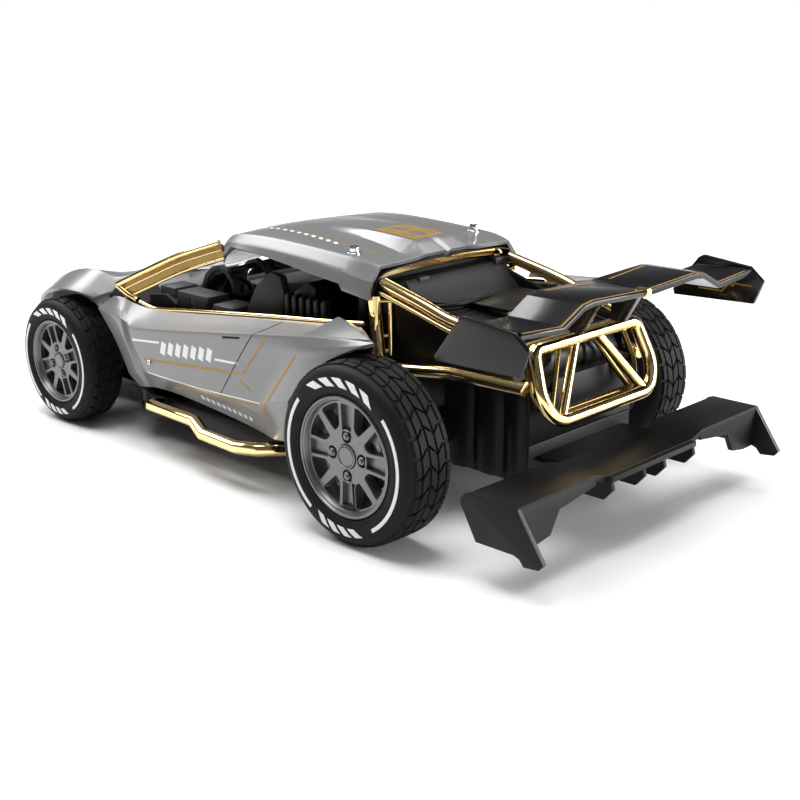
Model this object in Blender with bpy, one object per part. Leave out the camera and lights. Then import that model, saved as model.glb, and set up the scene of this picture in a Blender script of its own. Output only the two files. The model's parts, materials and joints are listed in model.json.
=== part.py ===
"""Remote control car, about 1:12: silver body panels over a gold roll cage, rear wing and diffuser.

The frame: forward is -Y, the car's left is +X, up is +Z, and the origin is on the ground under
the middle of the car. Lengths below are in millimetres. In the helpers, y is counted from the
rear axle, because the wheels set out everything else; place() turns a point into metres.
"""
import math

import bmesh
import bpy
from mathutils import Matrix, Vector

MM = 0.001
GAP = 0.3                      # clearance between pieces that touch

# driving dimensions
REAR_AXLE_Y = 94.5             # rear axle to the middle of the car's length
WHEELBASE = 219.4
FRONT = -WHEELBASE             # front axle's y, counted from the rear axle
REAR_RADIUS = 36.4
FRONT_RADIUS = 31.3
REAR_TYRE_X = (67.9, 93.3)     # inner and outer faces
FRONT_TYRE_X = (60.0, 81.6)
FRONT_SCALE = FRONT_RADIUS / REAR_RADIUS
RIM_RADIUS = 24.0
PANEL = 1.8                    # body panel thickness
PILLAR = 3.0                   # windscreen pillar's thickness
SPOKE_PAIRS = 4

# pins that gears and knuckles turn on
PIN_R = 1.5
PIN_BORE_R = 1.58
FRONT_STUB_R = 2.0

# steering
STEER_LIMIT = math.radians(24)
KINGPIN_X = 54.0
ARM = 12.0                     # kingpin to tie rod pin, and servo shaft to its pin
STEER_PIN_R = 1.2
SLOT_HALF = 1.5                # half the width of the tie rod's slots
STEER_PIN_Y = FRONT + ARM       # pins of the tie rod when the wheels point ahead
SERVO_Y = FRONT + 2 * ARM

# gear train
MODULE = 0.8
PRESSURE = math.radians(25)
PINION_TEETH = 9
LARGE_TEETH = 24
SMALL_TEETH = 11
AXLE_TEETH = 27
SHAFT_R = 2.5
REDUCTION_AT = (-12.16, 45.52)  # y and z of the reduction gear's pin
CASE_X = 34.0
CASE_Y = (-41.0, 43.0)
CASE_Z = (20.0, 60.0)
WALL = 2.5

# cage and steps
TUBE = 2.6
SIDES = 8
THIN_SIDES = 6

# the two sides of the car
SIDE_NAMES = {1: "left", -1: "right"}


def place(x, y, z):
    return Vector((x, y + REAR_AXLE_Y, z)) * MM


# ---------------------------------------------------------------- materials

def material(name, colour, roughness, metallic=0.0):
    made = bpy.data.materials.new(name)
    made.use_nodes = True
    shader = made.node_tree.nodes["Principled BSDF"]
    shader.inputs["Base Color"].default_value = (*colour, 1.0)
    shader.inputs["Roughness"].default_value = roughness
    shader.inputs["Metallic"].default_value = metallic
    made.diffuse_color = (*colour, 1.0)
    return made


# ---------------------------------------------------------------- modelling helpers

def piece(name, bm, finish, smooth=False):
    """Makes the object of one closed bmesh, with its faces turned outward."""
    bmesh.ops.recalc_face_normals(bm, faces=bm.faces)
    mesh = bpy.data.meshes.new(name)
    bm.to_mesh(mesh)
    bm.free()
    mesh.materials.append(finish)
    if smooth:
        mesh.shade_smooth()
        mesh.set_sharp_from_angle(angle=math.radians(35))
    made = bpy.data.objects.new(name, mesh)
    bpy.context.scene.collection.objects.link(made)
    return made


def on_axis(axis, across, along):
    """A point from its two coordinates across an axis and the one along it."""
    a, b = across
    return {"X": (along, a, b), "Y": (a, along, b), "Z": (a, b, along)}[axis]


def prism(name, axis, outline, low, high, finish):
    """An outline across an axis, drawn out from low to high along it."""
    bm = bmesh.new()
    ends = []
    for along in (low, high):
        ends.append([bm.verts.new(place(*on_axis(axis, p, along))) for p in outline])
        bm.faces.new(ends[-1])
    for i in range(len(outline)):
        j = (i + 1) % len(outline)
        bm.faces.new((ends[0][i], ends[0][j], ends[1][j], ends[1][i]))
    return piece(name, bm, finish)


def pin_tool(name, axis, centre, radius, low, high, finish, steps=16):
    """A plain round pin, as a piece or as the tool that cuts a bore."""
    return turned(name, axis, centre, [(0, low), (radius, low), (radius, high), (0, high)], finish, steps)


def block(name, low, high, finish):
    outline = [(low[0], low[1]), (high[0], low[1]), (high[0], high[1]), (low[0], high[1])]
    return prism(name, "Z", outline, low[2], high[2], finish)


def turned(name, axis, centre, profile, finish, steps=24):
    """Turns (radius, along) points about an axis. Ends at radius 0 close on the axis."""
    bm = bmesh.new()
    rings = []
    for radius, along in profile:
        count = steps if radius > 0 else 1
        ring = []
        for i in range(count):
            angle = 2 * math.pi * i / steps
            across = (centre[0] + radius * math.cos(angle), centre[1] + radius * math.sin(angle))
            ring.append(bm.verts.new(place(*on_axis(axis, across, along))))
        rings.append(ring)
    closed = profile[0][0] > 0
    for k in range(len(rings) if closed else len(rings) - 1):
        join_rings(bm, rings[k], rings[(k + 1) % len(rings)])
    return piece(name, bm, finish, smooth=True)


def join_rings(bm, first, second):
    count = max(len(first), len(second))
    for i in range(count):
        j = (i + 1) % count
        corners = [first[i % len(first)], first[j % len(first)]]
        corners += [second[j % len(second)], second[i % len(second)]]
        bm.faces.new(list(dict.fromkeys(corners)))


def tube(name, points, radius, finish, sides=SIDES, closed=False):
    """A round bar along a line of points, mitred at its corners."""
    path = [place(*p) for p in points]
    bm = bmesh.new()
    rings = []
    side = None
    for i, here in enumerate(path):
        before = path[i - 1] if (i or closed) else here
        after = path[(i + 1) % len(path)] if (i + 1 < len(path) or closed) else here
        into = (here - before).normalized()
        out = (after - here).normalized()
        along = (into + out).normalized()
        if side is None:
            side = along.cross(Vector((0.31, 0.2, 0.93))).normalized()
        side = (side - along * side.dot(along)).normalized()
        other = along.cross(side)
        rings.append([bm.verts.new(here + ring_offset(side, other, radius, k, sides))
                      for k in range(sides)])
    for i in range(len(rings) if closed else len(rings) - 1):
        join_rings(bm, rings[i], rings[(i + 1) % len(rings)])
    if not closed:
        bm.faces.new(rings[0])
        bm.faces.new(rings[-1])
    return piece(name, bm, finish, smooth=True)


def ring_offset(side, other, radius, k, sides):
    angle = 2 * math.pi * k / sides
    return (side * math.cos(angle) + other * math.sin(angle)) * radius * MM


def bend(corner, before, after, radius, steps=3):
    """Points that round a corner of a path with an arc-like curve."""
    corner, before, after = Vector(corner), Vector(before), Vector(after)
    start = corner + (before - corner).normalized() * radius
    end = corner + (after - corner).normalized() * radius
    found = []
    for i in range(steps + 1):
        t = i / steps
        found.append(tuple(start * (1 - t) ** 2 + corner * 2 * t * (1 - t) + end * t * t))
    return found


def panel(name, rows, thickness, finish, outward=1):
    """A skin through rows of points, thickened to its inner side."""
    bm = bmesh.new()
    grid = [[bm.verts.new(place(*p)) for p in row] for row in rows]
    for upper, lower in zip(grid, grid[1:]):
        for j in range(len(upper) - 1):
            corners = (upper[j], upper[j + 1], lower[j + 1], lower[j])
            bm.faces.new(corners if outward > 0 else corners[::-1])
    mesh = bpy.data.meshes.new(name)
    bm.to_mesh(mesh)
    bm.free()
    mesh.materials.append(finish)
    made = bpy.data.objects.new(name, mesh)
    bpy.context.scene.collection.objects.link(made)
    solid = made.modifiers.new("thickness", "SOLIDIFY")
    solid.thickness = thickness * MM
    solid.offset = -1
    return made


def combine(target, operation, *tools):
    """Boolean of a piece with helper solids, which stay hidden."""
    for tool in tools:
        tool.hide_render = True
        tool.display_type = "WIRE"
        step = target.modifiers.new(tool.name, "BOOLEAN")
        step.operation = operation
        step.object = tool
        step.solver = "EXACT"
    return target


def both_ways(half):
    """A row of points across the car, from its half on the left side."""
    return [(-x, y, z) for x, y, z in reversed(half) if x > 0] + list(half)


def flip(points, side):
    return [(side * p[0], *p[1:]) for p in points]


def carry(pivot_name, pivot, pieces, parent=None):
    """Parents the pieces of one moving body to an empty on its joint's axis."""
    empty = bpy.data.objects.new(pivot_name, None)
    bpy.context.scene.collection.objects.link(empty)
    at = place(*pivot)
    empty.matrix_world = Matrix.Translation(at)
    if parent:
        empty.parent = parent
        empty.location = at - parent.location
    for made in pieces:
        made.data.transform(Matrix.Translation(-at))
        made.parent = empty
    return empty


# ---------------------------------------------------------------- chassis and electrics

def chassis(finish):
    plate = [(34, -268), (44, -255), (44, -192), (64, -172), (66, -160), (66, -70), (60, -52), (30, -45)]
    outline = plate + [(-x, y) for x, y in reversed(plate)]
    tray = prism("chassis_tray", "Z", outline, 13, 16, finish)
    rim = [(62, -173), (66, -160), (66, -70), (60, -52)]
    inner = [(60, -170.5), (63.5, -159), (63.5, -71), (58.5, -54.5)]
    wall = prism("tray_wall", "Z", rim + [(-x, y) for x, y in reversed(rim)], 15, 23, finish)
    hollow = prism("tray_hollow", "Z", inner + [(-x, y) for x, y in reversed(inner)], 16, 24, finish)
    hatch = block("hatch_hole", (-22, -160, 12), (22, -92, 17), finish)
    slot = block("switch_hole", (29, -86, 12), (35, -74, 17), finish)
    combine(tray, "UNION", wall)
    return combine(tray, "DIFFERENCE", hollow, hatch, slot)


def electrics(plastic, cell, green):
    block("battery_door", (-22 + GAP, -160 + GAP, 13.2), (22 - GAP, -92 - GAP, 15.8), plastic)
    block("battery_pack", (-18, -156, 16.4), (18, -96, 34), cell)
    block("circuit_board", (-24, -88, 16.4), (24, -58, 18), green)
    knob = block("power_switch", (30, -84, 11.6), (34, -80, 16), plastic)
    return carry("power_switch_slide", (32, -82, 13), [knob])


# ---------------------------------------------------------------- steering

def slot_cut(name, x, y, toward, finish):
    """A slot for a steering pin, which swings the given way as the wheels turn."""
    swing = ARM * (1 - math.cos(STEER_LIMIT))
    reach = [y, y + toward * swing]
    low = min(reach) - STEER_PIN_R - 0.2
    high = max(reach) + STEER_PIN_R + 0.2
    return block(name, (x - SLOT_HALF, low, 29), (x + SLOT_HALF, high, 34), finish)


def steering_fork(side, finish, steel):
    name = SIDE_NAMES[side]
    shape = [(36, 16.3), (58, 16.3), (58, 19), (43, 19), (43, 44), (58, 44), (58, 46.5), (36, 46.5)]
    fork = prism(name + "_fork", "Y", flip(shape, side), FRONT - 3.5, FRONT + 3.5, finish)
    bore = pin_tool(name + "_fork_bore", "Z", (side * KINGPIN_X, FRONT), PIN_BORE_R, 15, 48, finish)
    combine(fork, "DIFFERENCE", bore)
    pin = [(0, 16.4), (PIN_R, 16.4), (PIN_R, 46.8), (2.6, 46.8), (2.6, 48), (0, 48)]
    turned(name + "_kingpin", "Z", (side * KINGPIN_X, FRONT), pin, steel, 16)


def knuckle(side, finish):
    name = SIDE_NAMES[side]
    centre_x = side * KINGPIN_X
    body = block(name + "_knuckle", (centre_x - 4, FRONT - 4, 19.4), (centre_x + 4, FRONT + 4, 43.6), finish)
    stub = pin_tool(name + "_stub", "X", (FRONT, FRONT_RADIUS), FRONT_STUB_R, centre_x, side * 78.2, finish)
    arm = block(name + "_arm", (centre_x - 2.5, FRONT + 3, 33), (centre_x + 2.5, STEER_PIN_Y + 2.5, 36),
                finish)
    pin = pin_tool(name + "_arm_pin", "Z", (centre_x, STEER_PIN_Y), STEER_PIN_R, 29.6, 34, finish, 12)
    bore = pin_tool(name + "_knuckle_bore", "Z", (centre_x, FRONT), PIN_BORE_R, 18, 45, finish)
    combine(body, "UNION", stub, arm, pin)
    combine(body, "DIFFERENCE", bore)
    return carry(name + "_steer", (centre_x, FRONT, FRONT_RADIUS), [body])


def tie_rod(finish):
    """A flat bar with wide ends, and slots for the pins of both knuckles and of the servo arm."""
    ends = (49.5, 58.5)
    boss = 6
    rear = [(ends[1], 3.4), (ends[0], 3.4), (ends[0], 2.2), (boss, 2.2), (boss, 4.6)]
    front = [(ends[0], -2.8), (ends[0], -4.8), (ends[1], -4.8)]
    half = front + rear
    outline = [(x, STEER_PIN_Y + y) for x, y in half + [(-x, y) for x, y in reversed(half)]]
    rod = prism("tie_rod", "Z", outline, 30.3, 32.3, finish)
    cuts = [slot_cut("servo_slot", 0, STEER_PIN_Y, 1, finish)]
    for side, name in SIDE_NAMES.items():
        cuts.append(slot_cut(name + "_slot", side * KINGPIN_X, STEER_PIN_Y, -1, finish))
    combine(rod, "DIFFERENCE", *cuts)
    return carry("tie_rod_slide", (0, STEER_PIN_Y, 31.3), [rod])


def steering_servo(case, horn):
    body = block("steering_servo", (-11, -201, 16.3), (11, -176, 26), case)
    ears = block("servo_ears", (-17, -192, 20), (17, -185, 22.5), case)
    boss = pin_tool("servo_boss", "Z", (0, SERVO_Y), 3, 25, 27.4, case)
    combine(body, "UNION", ears, boss)
    hub = pin_tool("servo_arm", "Z", (0, SERVO_Y), 4, 27.7, 30, horn)
    arm = block("servo_arm_bar", (-2, STEER_PIN_Y - 2, 27.9), (2, SERVO_Y, 29.7), horn)
    pin = pin_tool("servo_arm_pin", "Z", (0, STEER_PIN_Y), STEER_PIN_R, 29, 33, horn, 12)
    combine(hub, "UNION", arm, pin)
    return carry("servo_pivot", (0, SERVO_Y, 28), [hub])


# ---------------------------------------------------------------- wheels

def tyre(name, side, axle, faces, scale, finish):
    """A low, wide tyre with round shoulders, seated on its rim."""
    inner, outer = faces
    radius = REAR_RADIUS * scale
    seat = (RIM_RADIUS + 0.3) * scale
    shape = [(seat, outer - 1), (seat + 2.5 * scale, outer), (radius - 5.5 * scale, outer - 0.4),
             (radius - 1.2 * scale, outer - 2.4), (radius, outer - 6), (radius, inner + 6),
             (radius - 1.2 * scale, inner + 2.4), (radius - 5.5 * scale, inner + 0.4),
             (seat + 2.5 * scale, inner), (seat, inner + 1)]
    profile = [(r, side * x) for r, x in shape]
    return turned(name, "X", axle, profile, finish, 32)


def rim(name, side, axle, outer, scale, bore, bore_end, finish):
    """A spoked wheel with a deep barrel and a blind bore for its axle."""
    def at(radius, depth):
        return radius * scale, side * (outer - depth)
    profile = [(0, side * (outer - 2.4)), at(5.5, 2.4), at(6.5, 4.4), at(20.5, 3.4), at(22, 1.4),
               at(RIM_RADIUS, 1.4), at(RIM_RADIUS, 23), at(22.3, 23), at(21.5, 8), at(7.5, 8.5), at(6, 18),
               (bore, side * (outer - 18 * scale)), (bore, side * bore_end), (0, side * bore_end)]
    wheel = turned(name, "X", axle, profile, finish, 24)
    combine(wheel, "DIFFERENCE", spoke_windows(name + "_windows", side, axle, outer, scale, finish))
    return wheel


def spoke_windows(name, side, axle, outer, scale, finish):
    """The openings between the spokes, wide and narrow spokes in turn."""
    bm = bmesh.new()
    step = math.pi / SPOKE_PAIRS
    for i in range(2 * SPOKE_PAIRS):
        wide, narrow = math.radians(12), math.radians(5)
        start = i * step + (wide if i % 2 == 0 else narrow)
        end = (i + 1) * step - (narrow if i % 2 == 0 else wide)
        corners = [(10.5, start + 0.06), (20.3, start - 0.04), (20.3, end + 0.04), (10.5, end - 0.06)]
        ends = []
        for depth in (0, 14):
            ring = []
            for r, a in corners:
                ring.append((axle[0] + r * scale * math.cos(a), axle[1] + r * scale * math.sin(a)))
            along = side * (outer - depth)
            ends.append([bm.verts.new(place(*on_axis("X", p, along))) for p in ring])
            bm.faces.new(ends[-1])
        join_rings(bm, ends[0], ends[1])
    return piece(name, bm, finish)


# ---------------------------------------------------------------- drive train

def gear_outline(teeth, centre, phase):
    """A spur gear's outline with flanks on the involute, a little thin for backlash."""
    pitch = MODULE * teeth / 2
    base = pitch * math.cos(PRESSURE)
    tip = pitch + 0.8 * MODULE
    root = pitch - 1.15 * MODULE
    involute = math.tan(PRESSURE) - PRESSURE
    half_tooth = math.pi / (2 * teeth) - 0.09 / pitch
    points = []
    for k in range(teeth):
        middle = phase + 2 * math.pi * k / teeth
        flank = []
        for radius in (root, max(base, (root + pitch) / 2), pitch, tip):
            lean = math.acos(min(1.0, base / max(radius, base)))
            flank.append((radius, half_tooth + involute - (math.tan(lean) - lean)))
        points += [(r, middle - a) for r, a in flank] + [(r, middle + a) for r, a in reversed(flank)]
    return [(centre[0] + r * math.cos(a), centre[1] + r * math.sin(a)) for r, a in points]


def mesh_phase(angle, teeth, other_teeth, other_phase):
    """Turns a gear so that its gap meets the tooth of the gear it drives, along a centre line."""
    offset = (angle - other_phase) * other_teeth / teeth
    return angle + math.pi + math.pi / teeth + offset


def reduction_place():
    """Centre of the reduction gear, at the distance from the axle where their teeth mesh."""
    axle = Vector((0, REAR_RADIUS))
    toward = (Vector(REDUCTION_AT) - axle).normalized()
    return axle + toward * MODULE * (AXLE_TEETH + SMALL_TEETH) / 2, math.atan2(toward.y, toward.x)


def motor_and_pinion(reduction, can, brass):
    """The motor in its can, low and in front of the reduction gear that its pinion drives."""
    toward = math.radians(188)
    spread = MODULE * (LARGE_TEETH + PINION_TEETH) / 2
    motor = reduction + Vector((math.cos(toward), math.sin(toward))) * spread
    shape = [(0, -24), (4, -24), (4, -22), (11.4, -21), (11.4, 10), (4, 11), (4, 12.5), (0, 12.5)]
    body = turned("drive_motor", "X", motor, shape, can, 20)
    combine(body, "DIFFERENCE", pin_tool("motor_bore", "X", motor, 1.1, 6, 13, can, 12))
    phase = mesh_phase(toward, PINION_TEETH, LARGE_TEETH, 0.0)
    pinion = prism("motor_pinion", "X", gear_outline(PINION_TEETH, motor, phase), 14.2, 20.5, brass)
    combine(pinion, "UNION", pin_tool("motor_shaft", "X", motor, 1, 7, 15, brass, 12))
    carry("pinion_axis", (17, *motor), [pinion])


def reduction_gear(reduction, phase, white, steel):
    """Large gear from the pinion and small gear to the axle in one moulding, on a fixed pin."""
    gear = prism("reduction_gear", "X", gear_outline(LARGE_TEETH, reduction, 0.0), 14.8, 19.8, white)
    small = prism("small_gear", "X", gear_outline(SMALL_TEETH, reduction, phase), 19.5, 27, white)
    combine(gear, "UNION", small)
    combine(gear, "DIFFERENCE", pin_tool("reduction_bore", "X", reduction, PIN_BORE_R, 13, 28, white))
    pin_tool("gear_shaft", "X", reduction, PIN_R, -33, 33, steel)
    carry("reduction_axis", (20, *reduction), [gear])


def drive_train(steel, brass, white, black):
    """Makes the motor, the gears and their case. Returns the pieces that turn with the rear wheels."""
    axle = (0, REAR_RADIUS)
    reduction, direction = reduction_place()
    motor_and_pinion(reduction, steel, brass)
    reduction_gear(reduction, mesh_phase(direction, SMALL_TEETH, AXLE_TEETH, 0.0), white, steel)
    large = prism("axle_gear", "X", gear_outline(AXLE_TEETH, axle, 0.0), 20.3, 26.6, white)
    combine(large, "DIFFERENCE", pin_tool("axle_gear_bore", "X", axle, SHAFT_R + GAP, 19, 28, white))
    end = REAR_TYRE_X[1] - 6.5
    rod = pin_tool("rear_axle", "X", axle, SHAFT_R, -end, end, steel)
    gearbox(black, reduction)
    for side, name in SIDE_NAMES.items():
        ring = [(2.58, side * 30.6), (5.7, side * 30.6), (5.7, side * 34.4), (2.58, side * 34.4)]
        turned(name + "_axle_bearing", "X", axle, ring, steel, 16)
    return [large, rod]


def gearbox(finish, reduction):
    """The case that holds the motor and gears, in two halves that meet at the axle."""
    split = REAR_RADIUS
    halves = (("gearbox_case", CASE_Z[0], split - GAP / 2, 1),
              ("gearbox_cover", split + GAP / 2, CASE_Z[1], -1))
    for name, low, high, floor in halves:
        half = block(name, (-CASE_X, CASE_Y[0], low), (CASE_X, CASE_Y[1], high), finish)
        inner_low = low + WALL if floor > 0 else low - 5
        inner_high = high + 5 if floor > 0 else high - WALL
        hollow = block(name + "_hollow", (-CASE_X + WALL, CASE_Y[0] + WALL, inner_low),
                       (CASE_X - WALL, CASE_Y[1] - WALL, inner_high), finish)
        seat = pin_tool(name + "_seat", "X", (0, REAR_RADIUS), 6, -40, 40, finish)
        combine(half, "DIFFERENCE", hollow, seat)
        if floor < 0:
            pin = pin_tool("shaft_hole", "X", reduction, PIN_R + GAP, -40, 40, finish)
            combine(half, "DIFFERENCE", pin)


# ---------------------------------------------------------------- body panels

def front_shell(finish):
    """Hood and front fenders as one skin, from the nose back to the windscreen's foot."""
    stations = [
        (-275, [(0, 41), (22, 41), (38, 40), (48, 39), (54, 36), (58, 32)]),
        (-266, [(0, 48), (22, 48.5), (38, 49.5), (48, 51.5), (58, 51.5), (64, 46)]),
        (-255, [(0, 54), (22, 55.5), (38, 57.5), (48, 61.5), (60, 63), (68.5, 58)]),
        (-240, [(0, 59), (22, 61.5), (38, 64), (48, 69), (60, 71.5), (72, 65)]),
        (-222, [(0, 64), (22, 66), (38, 69), (47, 72.5), (60, 75.5), (74, 67.5)]),
        (-205, [(0, 68), (22, 70), (37, 73), (45, 73), (60, 76), (74, 67.5)]),
        (-192, [(0, 71), (22, 73), (37, 75.5), (45, 74), (59, 73.5), (69, 66)]),
        (-183, [(0, 73), (22, 74.5), (37, 76), (45, 75), (55, 73), (60, 70)]),
    ]
    rows = [both_ways([(x, y, z) for x, z in half]) for y, half in stations]
    return panel("front_shell", rows, PANEL, finish)


def front_bumper(finish):
    """The black nose under the front shell, with its splitter."""
    side_shape = [(-277.5, 13.5), (-277.5, 16.5), (-273.5, 18), (-274, 30), (-272, 36), (-262, 42),
                  (-253, 42), (-253, 17), (-269, 16.5), (-269, 13.5)]
    bumper = prism("front_bumper", "X", side_shape, -50, 50, finish)
    wedges = []
    for side, name in SIDE_NAMES.items():
        corner = flip([(34, -280), (60, -280), (60, -250)], side)
        wedges.append(prism(name + "_nose_corner", "Z", corner, 10, 50, finish))
    hollow = block("nose_hollow", (-36, -270, 19), (36, -250, 39.5), finish)
    return combine(bumper, "DIFFERENCE", hollow, *wedges)


# rows of the side panel from its sill to its bottom edge, each from the front to the wheel arch
SIDE_ROWS = [
    [(66.5, -183, 68), (64.5, -158, 64), (64.5, -132, 67), (63.5, -104, 70), (62.5, -75, 73),
     (61.5, -45, 76), (61, -34, 77), (62, -20, 78.3)],
    [(71, -193, 60.5), (75, -162, 56.2), (76, -134, 60.5), (76.5, -105, 64.8), (77, -75, 69.3),
     (78, -45, 73.2), (79, -24, 77), (80, 5, 79.5)],
    [(72.5, -178, 47), (75.5, -157, 46.5), (77, -130, 49), (77.5, -105, 51.5), (78, -78, 54.5),
     (79, -57, 57), (81, -40, 63), (81.5, -25, 67)],
    [(74, -168, 33.5), (75.5, -151, 37.5), (77.5, -125, 38.6), (78, -98, 39.6), (78.5, -80, 40.5),
     (79, -66, 42), (80.5, -53, 46), (82, -41.5, 48.5)],
    [(69, -172, 27), (69, -152, 28.6), (70, -125, 29.2), (70, -101, 27.4), (70, -82, 25.6),
     (71, -66, 25), (73.5, -58, 25.5), (76, -53.5, 27.5)],
]


def side_panel(side, finish):
    """Door, sill and rear fender in one skin."""
    name = SIDE_NAMES[side]
    rows = [flip(row, side) for row in SIDE_ROWS]
    return panel(name + "_side_panel", rows, PANEL, finish, outward=-side)


def roof(finish):
    """Roof with its raised spine and the light skirts along its sides."""
    stations = [
        (-157, [(0, 94.5), (12, 94.3), (24, 93.8), (38, 91.5), (40, 90), (41, 88)], 26),
        (-140, [(0, 99.0), (12, 98.9), (22, 98.5), (42, 96.5), (45.5, 94.5), (47, 90.5)], 12),
        (-118, [(0, 103.4), (11, 103.3), (20, 103), (44, 102.2), (47, 98.5), (49, 96.5)], 0),
        (-98, [(0, 105), (10, 105), (18, 104.4), (44, 103.5), (47.5, 99.5), (49.5, 95.6)], 0),
        (-66, [(0, 106.1), (12, 106), (17, 103.6), (44, 102.2), (48, 97.5), (50, 92.3)], 0),
        (-38, [(0, 104), (12, 104), (20.5, 100), (43, 100.3), (47.5, 94), (49.5, 87.8)], 0),
        (-30, [(0, 99.6), (13, 99.6), (20, 99.4), (41, 98.4), (46, 92.5), (48.5, 85.5)], 0),
    ]
    rows = []
    for y, half, sweep in stations:
        rows.append(both_ways([(x, y + sweep * (x / 45) ** 2, z) for x, z in half]))
    return panel("roof_panel", rows, PANEL, finish)


# ---------------------------------------------------------------- cage, rails and steps

def window_rails(side, finish):
    name = SIDE_NAMES[side]
    upper = [(66, -182, 73.5), (61, -165, 82), (55.5, -149, 90), (51.5, -134, 95)]
    lower = [(61.5, -172, 70.5), (58.5, -158, 77), (54.5, -144.5, 83.5), (50.5, -132, 89.3)]
    panel(name + "_a_pillar", [flip(upper, side), flip(lower, side)], PILLAR, finish, outward=-side)
    sill = [(62.5, -168, 69.8), (62, -156, 67), (61.5, -132, 70), (60.5, -104, 73), (59.5, -75, 76),
            (58.5, -45, 79), (57.5, -20, 81.3)]
    tube(name + "_sill_rail", flip(sill, side), 1.5, finish, THIN_SIDES)


def cage(side, finish):
    name = SIDE_NAMES[side]
    upper = [(40.5, -29, 91.3), (41.5, -6, 86), (41.5, 9, 81.8), (38, 25, 78.6), (34, 38.5, 76)]
    tube(name + "_upper_rail", flip(upper, side), TUBE, finish)
    corner = bend((46, -25, 61), (43, -31, 86), (38, 36, 60.5), 7)
    lower = [(43.5, -31.5, 85.5)] + corner + [(41.5, 8, 61), (38.5, 44, 60.5)]
    tube(name + "_lower_rail", flip(lower, side), TUBE, finish)


def window_bar(finish):
    path = [(-40, -35, 94), (-20, -35.5, 95), (20, -35.5, 95), (40, -35, 94)]
    return tube("rear_window_bar", path, 2.3, finish)


def rear_frame(finish):
    """The truss behind the engine: a rounded loop leaning back, with two struts."""
    top, middle, foot = (33.7, 43.6, 74.8), (37, 50.5, 57.5), (31, 54, 47.8)
    left = bend(top, (0, 43.3, 74.8), middle, 4) + bend(middle, top, foot, 5)
    left += bend(foot, middle, (0, 54, 47.8), 6)
    right = [(-x, y, z) for x, y, z in reversed(left)]
    frame = tube("rear_cage_frame", left + right, TUBE, finish, closed=True)
    for side, name in SIDE_NAMES.items():
        strut = flip([(7, 43.5, 74.5), (27.5, 53.6, 48.8)], side)
        combine(frame, "UNION", tube(name + "_strut", strut, 2.2, finish, THIN_SIDES))
    return frame


def side_step(side, finish):
    name = SIDE_NAMES[side]
    outer = [(67.6, -149, 21), (72, -150, 22), (75.5, -147, 22.3), (76.5, -113, 22.3),
             (79.5, -103, 19), (80.5, -79, 19), (78, -68, 20), (67.6, -60, 19.5)]
    return tube(name + "_side_step", flip(outer, side), 3.2, finish, THIN_SIDES)


# ---------------------------------------------------------------- cockpit

def cockpit(tub_finish, trim):
    """The dummy cockpit that shows through the windows."""
    tub = block("interior_tub", (-58, -176, 36), (58, -46, 60), tub_finish)
    combine(tub, "DIFFERENCE", block("tub_hollow", (-55.5, -173.5, 38.5), (55.5, -48.5, 61), tub_finish))
    dash = [(-173, 39), (-155, 39), (-150, 52), (-152, 66), (-160, 70), (-173, 68)]
    prism("dashboard", "X", dash, -54.5, 54.5, trim)
    wheel_path = []
    for i in range(2 * THIN_SIDES):
        angle = math.pi * i / THIN_SIDES
        across, up = math.cos(angle), math.sin(angle)
        wheel_path.append((25 + 10 * across, -143 - 4 * up, 67 + 9.2 * up))
    wheel = tube("cockpit_wheel", wheel_path, 1.4, trim, THIN_SIDES, closed=True)
    spoke = block("wheel_spoke", (15.5, -144, 65.8), (34.5, -142, 68.2), trim)
    column = tube("wheel_column", [(25, -143, 67), (25, -151, 63.5)], 1.6, trim)
    combine(wheel, "UNION", spoke, column)
    seat = [(-128, 39), (-82, 39), (-66, 84), (-71, 86.5), (-82, 80), (-96, 50), (-126, 47)]
    for side, name in SIDE_NAMES.items():
        low, high = sorted((side * 8, side * 44))
        prism(name + "_seat", "X", seat, low, high, trim)


def engine_cover(finish):
    """The moulded cover over the drive unit, rising to the bar behind the cabin."""
    shape = [(-44, 60.6), (-44, 70), (-41, 88), (-34, 91.2), (-31, 90), (-24, 80), (18, 74), (32, 69),
             (36, 60.6)]
    inner = [(-42, 59), (-42, 69), (-39, 86), (-34, 88), (-31, 86), (-25, 78), (17, 72), (30, 67.5),
             (34, 59)]
    cover = prism("engine_cover", "X", shape, -35, 35, finish)
    return combine(cover, "DIFFERENCE", prism("engine_cover_hollow", "X", inner, -33, 33, finish))


# ---------------------------------------------------------------- wing and diffuser

def wing(side, finish):
    """Half of the rear wing, with its end plate and its leg."""
    name = SIDE_NAMES[side]
    stations = [(0.5, 97.3, 96.8), (34, 98.5, 98.3), (40, 97.8, 97.6), (52, 91.5, 91.8), (78, 92.5, 93.5)]
    rows = [[(side * x, 45, front), (side * x, 71.5, rear)] for x, front, rear in stations]
    half = panel(name + "_wing", rows, 2.4, finish, outward=-side)
    outline = [(34, 80), (45.8, 95.5), (48, 96.8), (70.6, 94.5), (77.2, 89), (73.3, 79), (34.8, 77.7)]
    low, high = sorted((side * 77, side * 79))
    plate = prism(name + "_end_plate", "X", outline, low, high, finish)
    low, high = sorted((side * 12, side * 16))
    leg = prism(name + "_wing_leg", "X", [(46.5, 79), (46.5, 96), (62, 96), (52, 79)], low, high, finish)
    return combine(half, "UNION", plate, leg)


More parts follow.
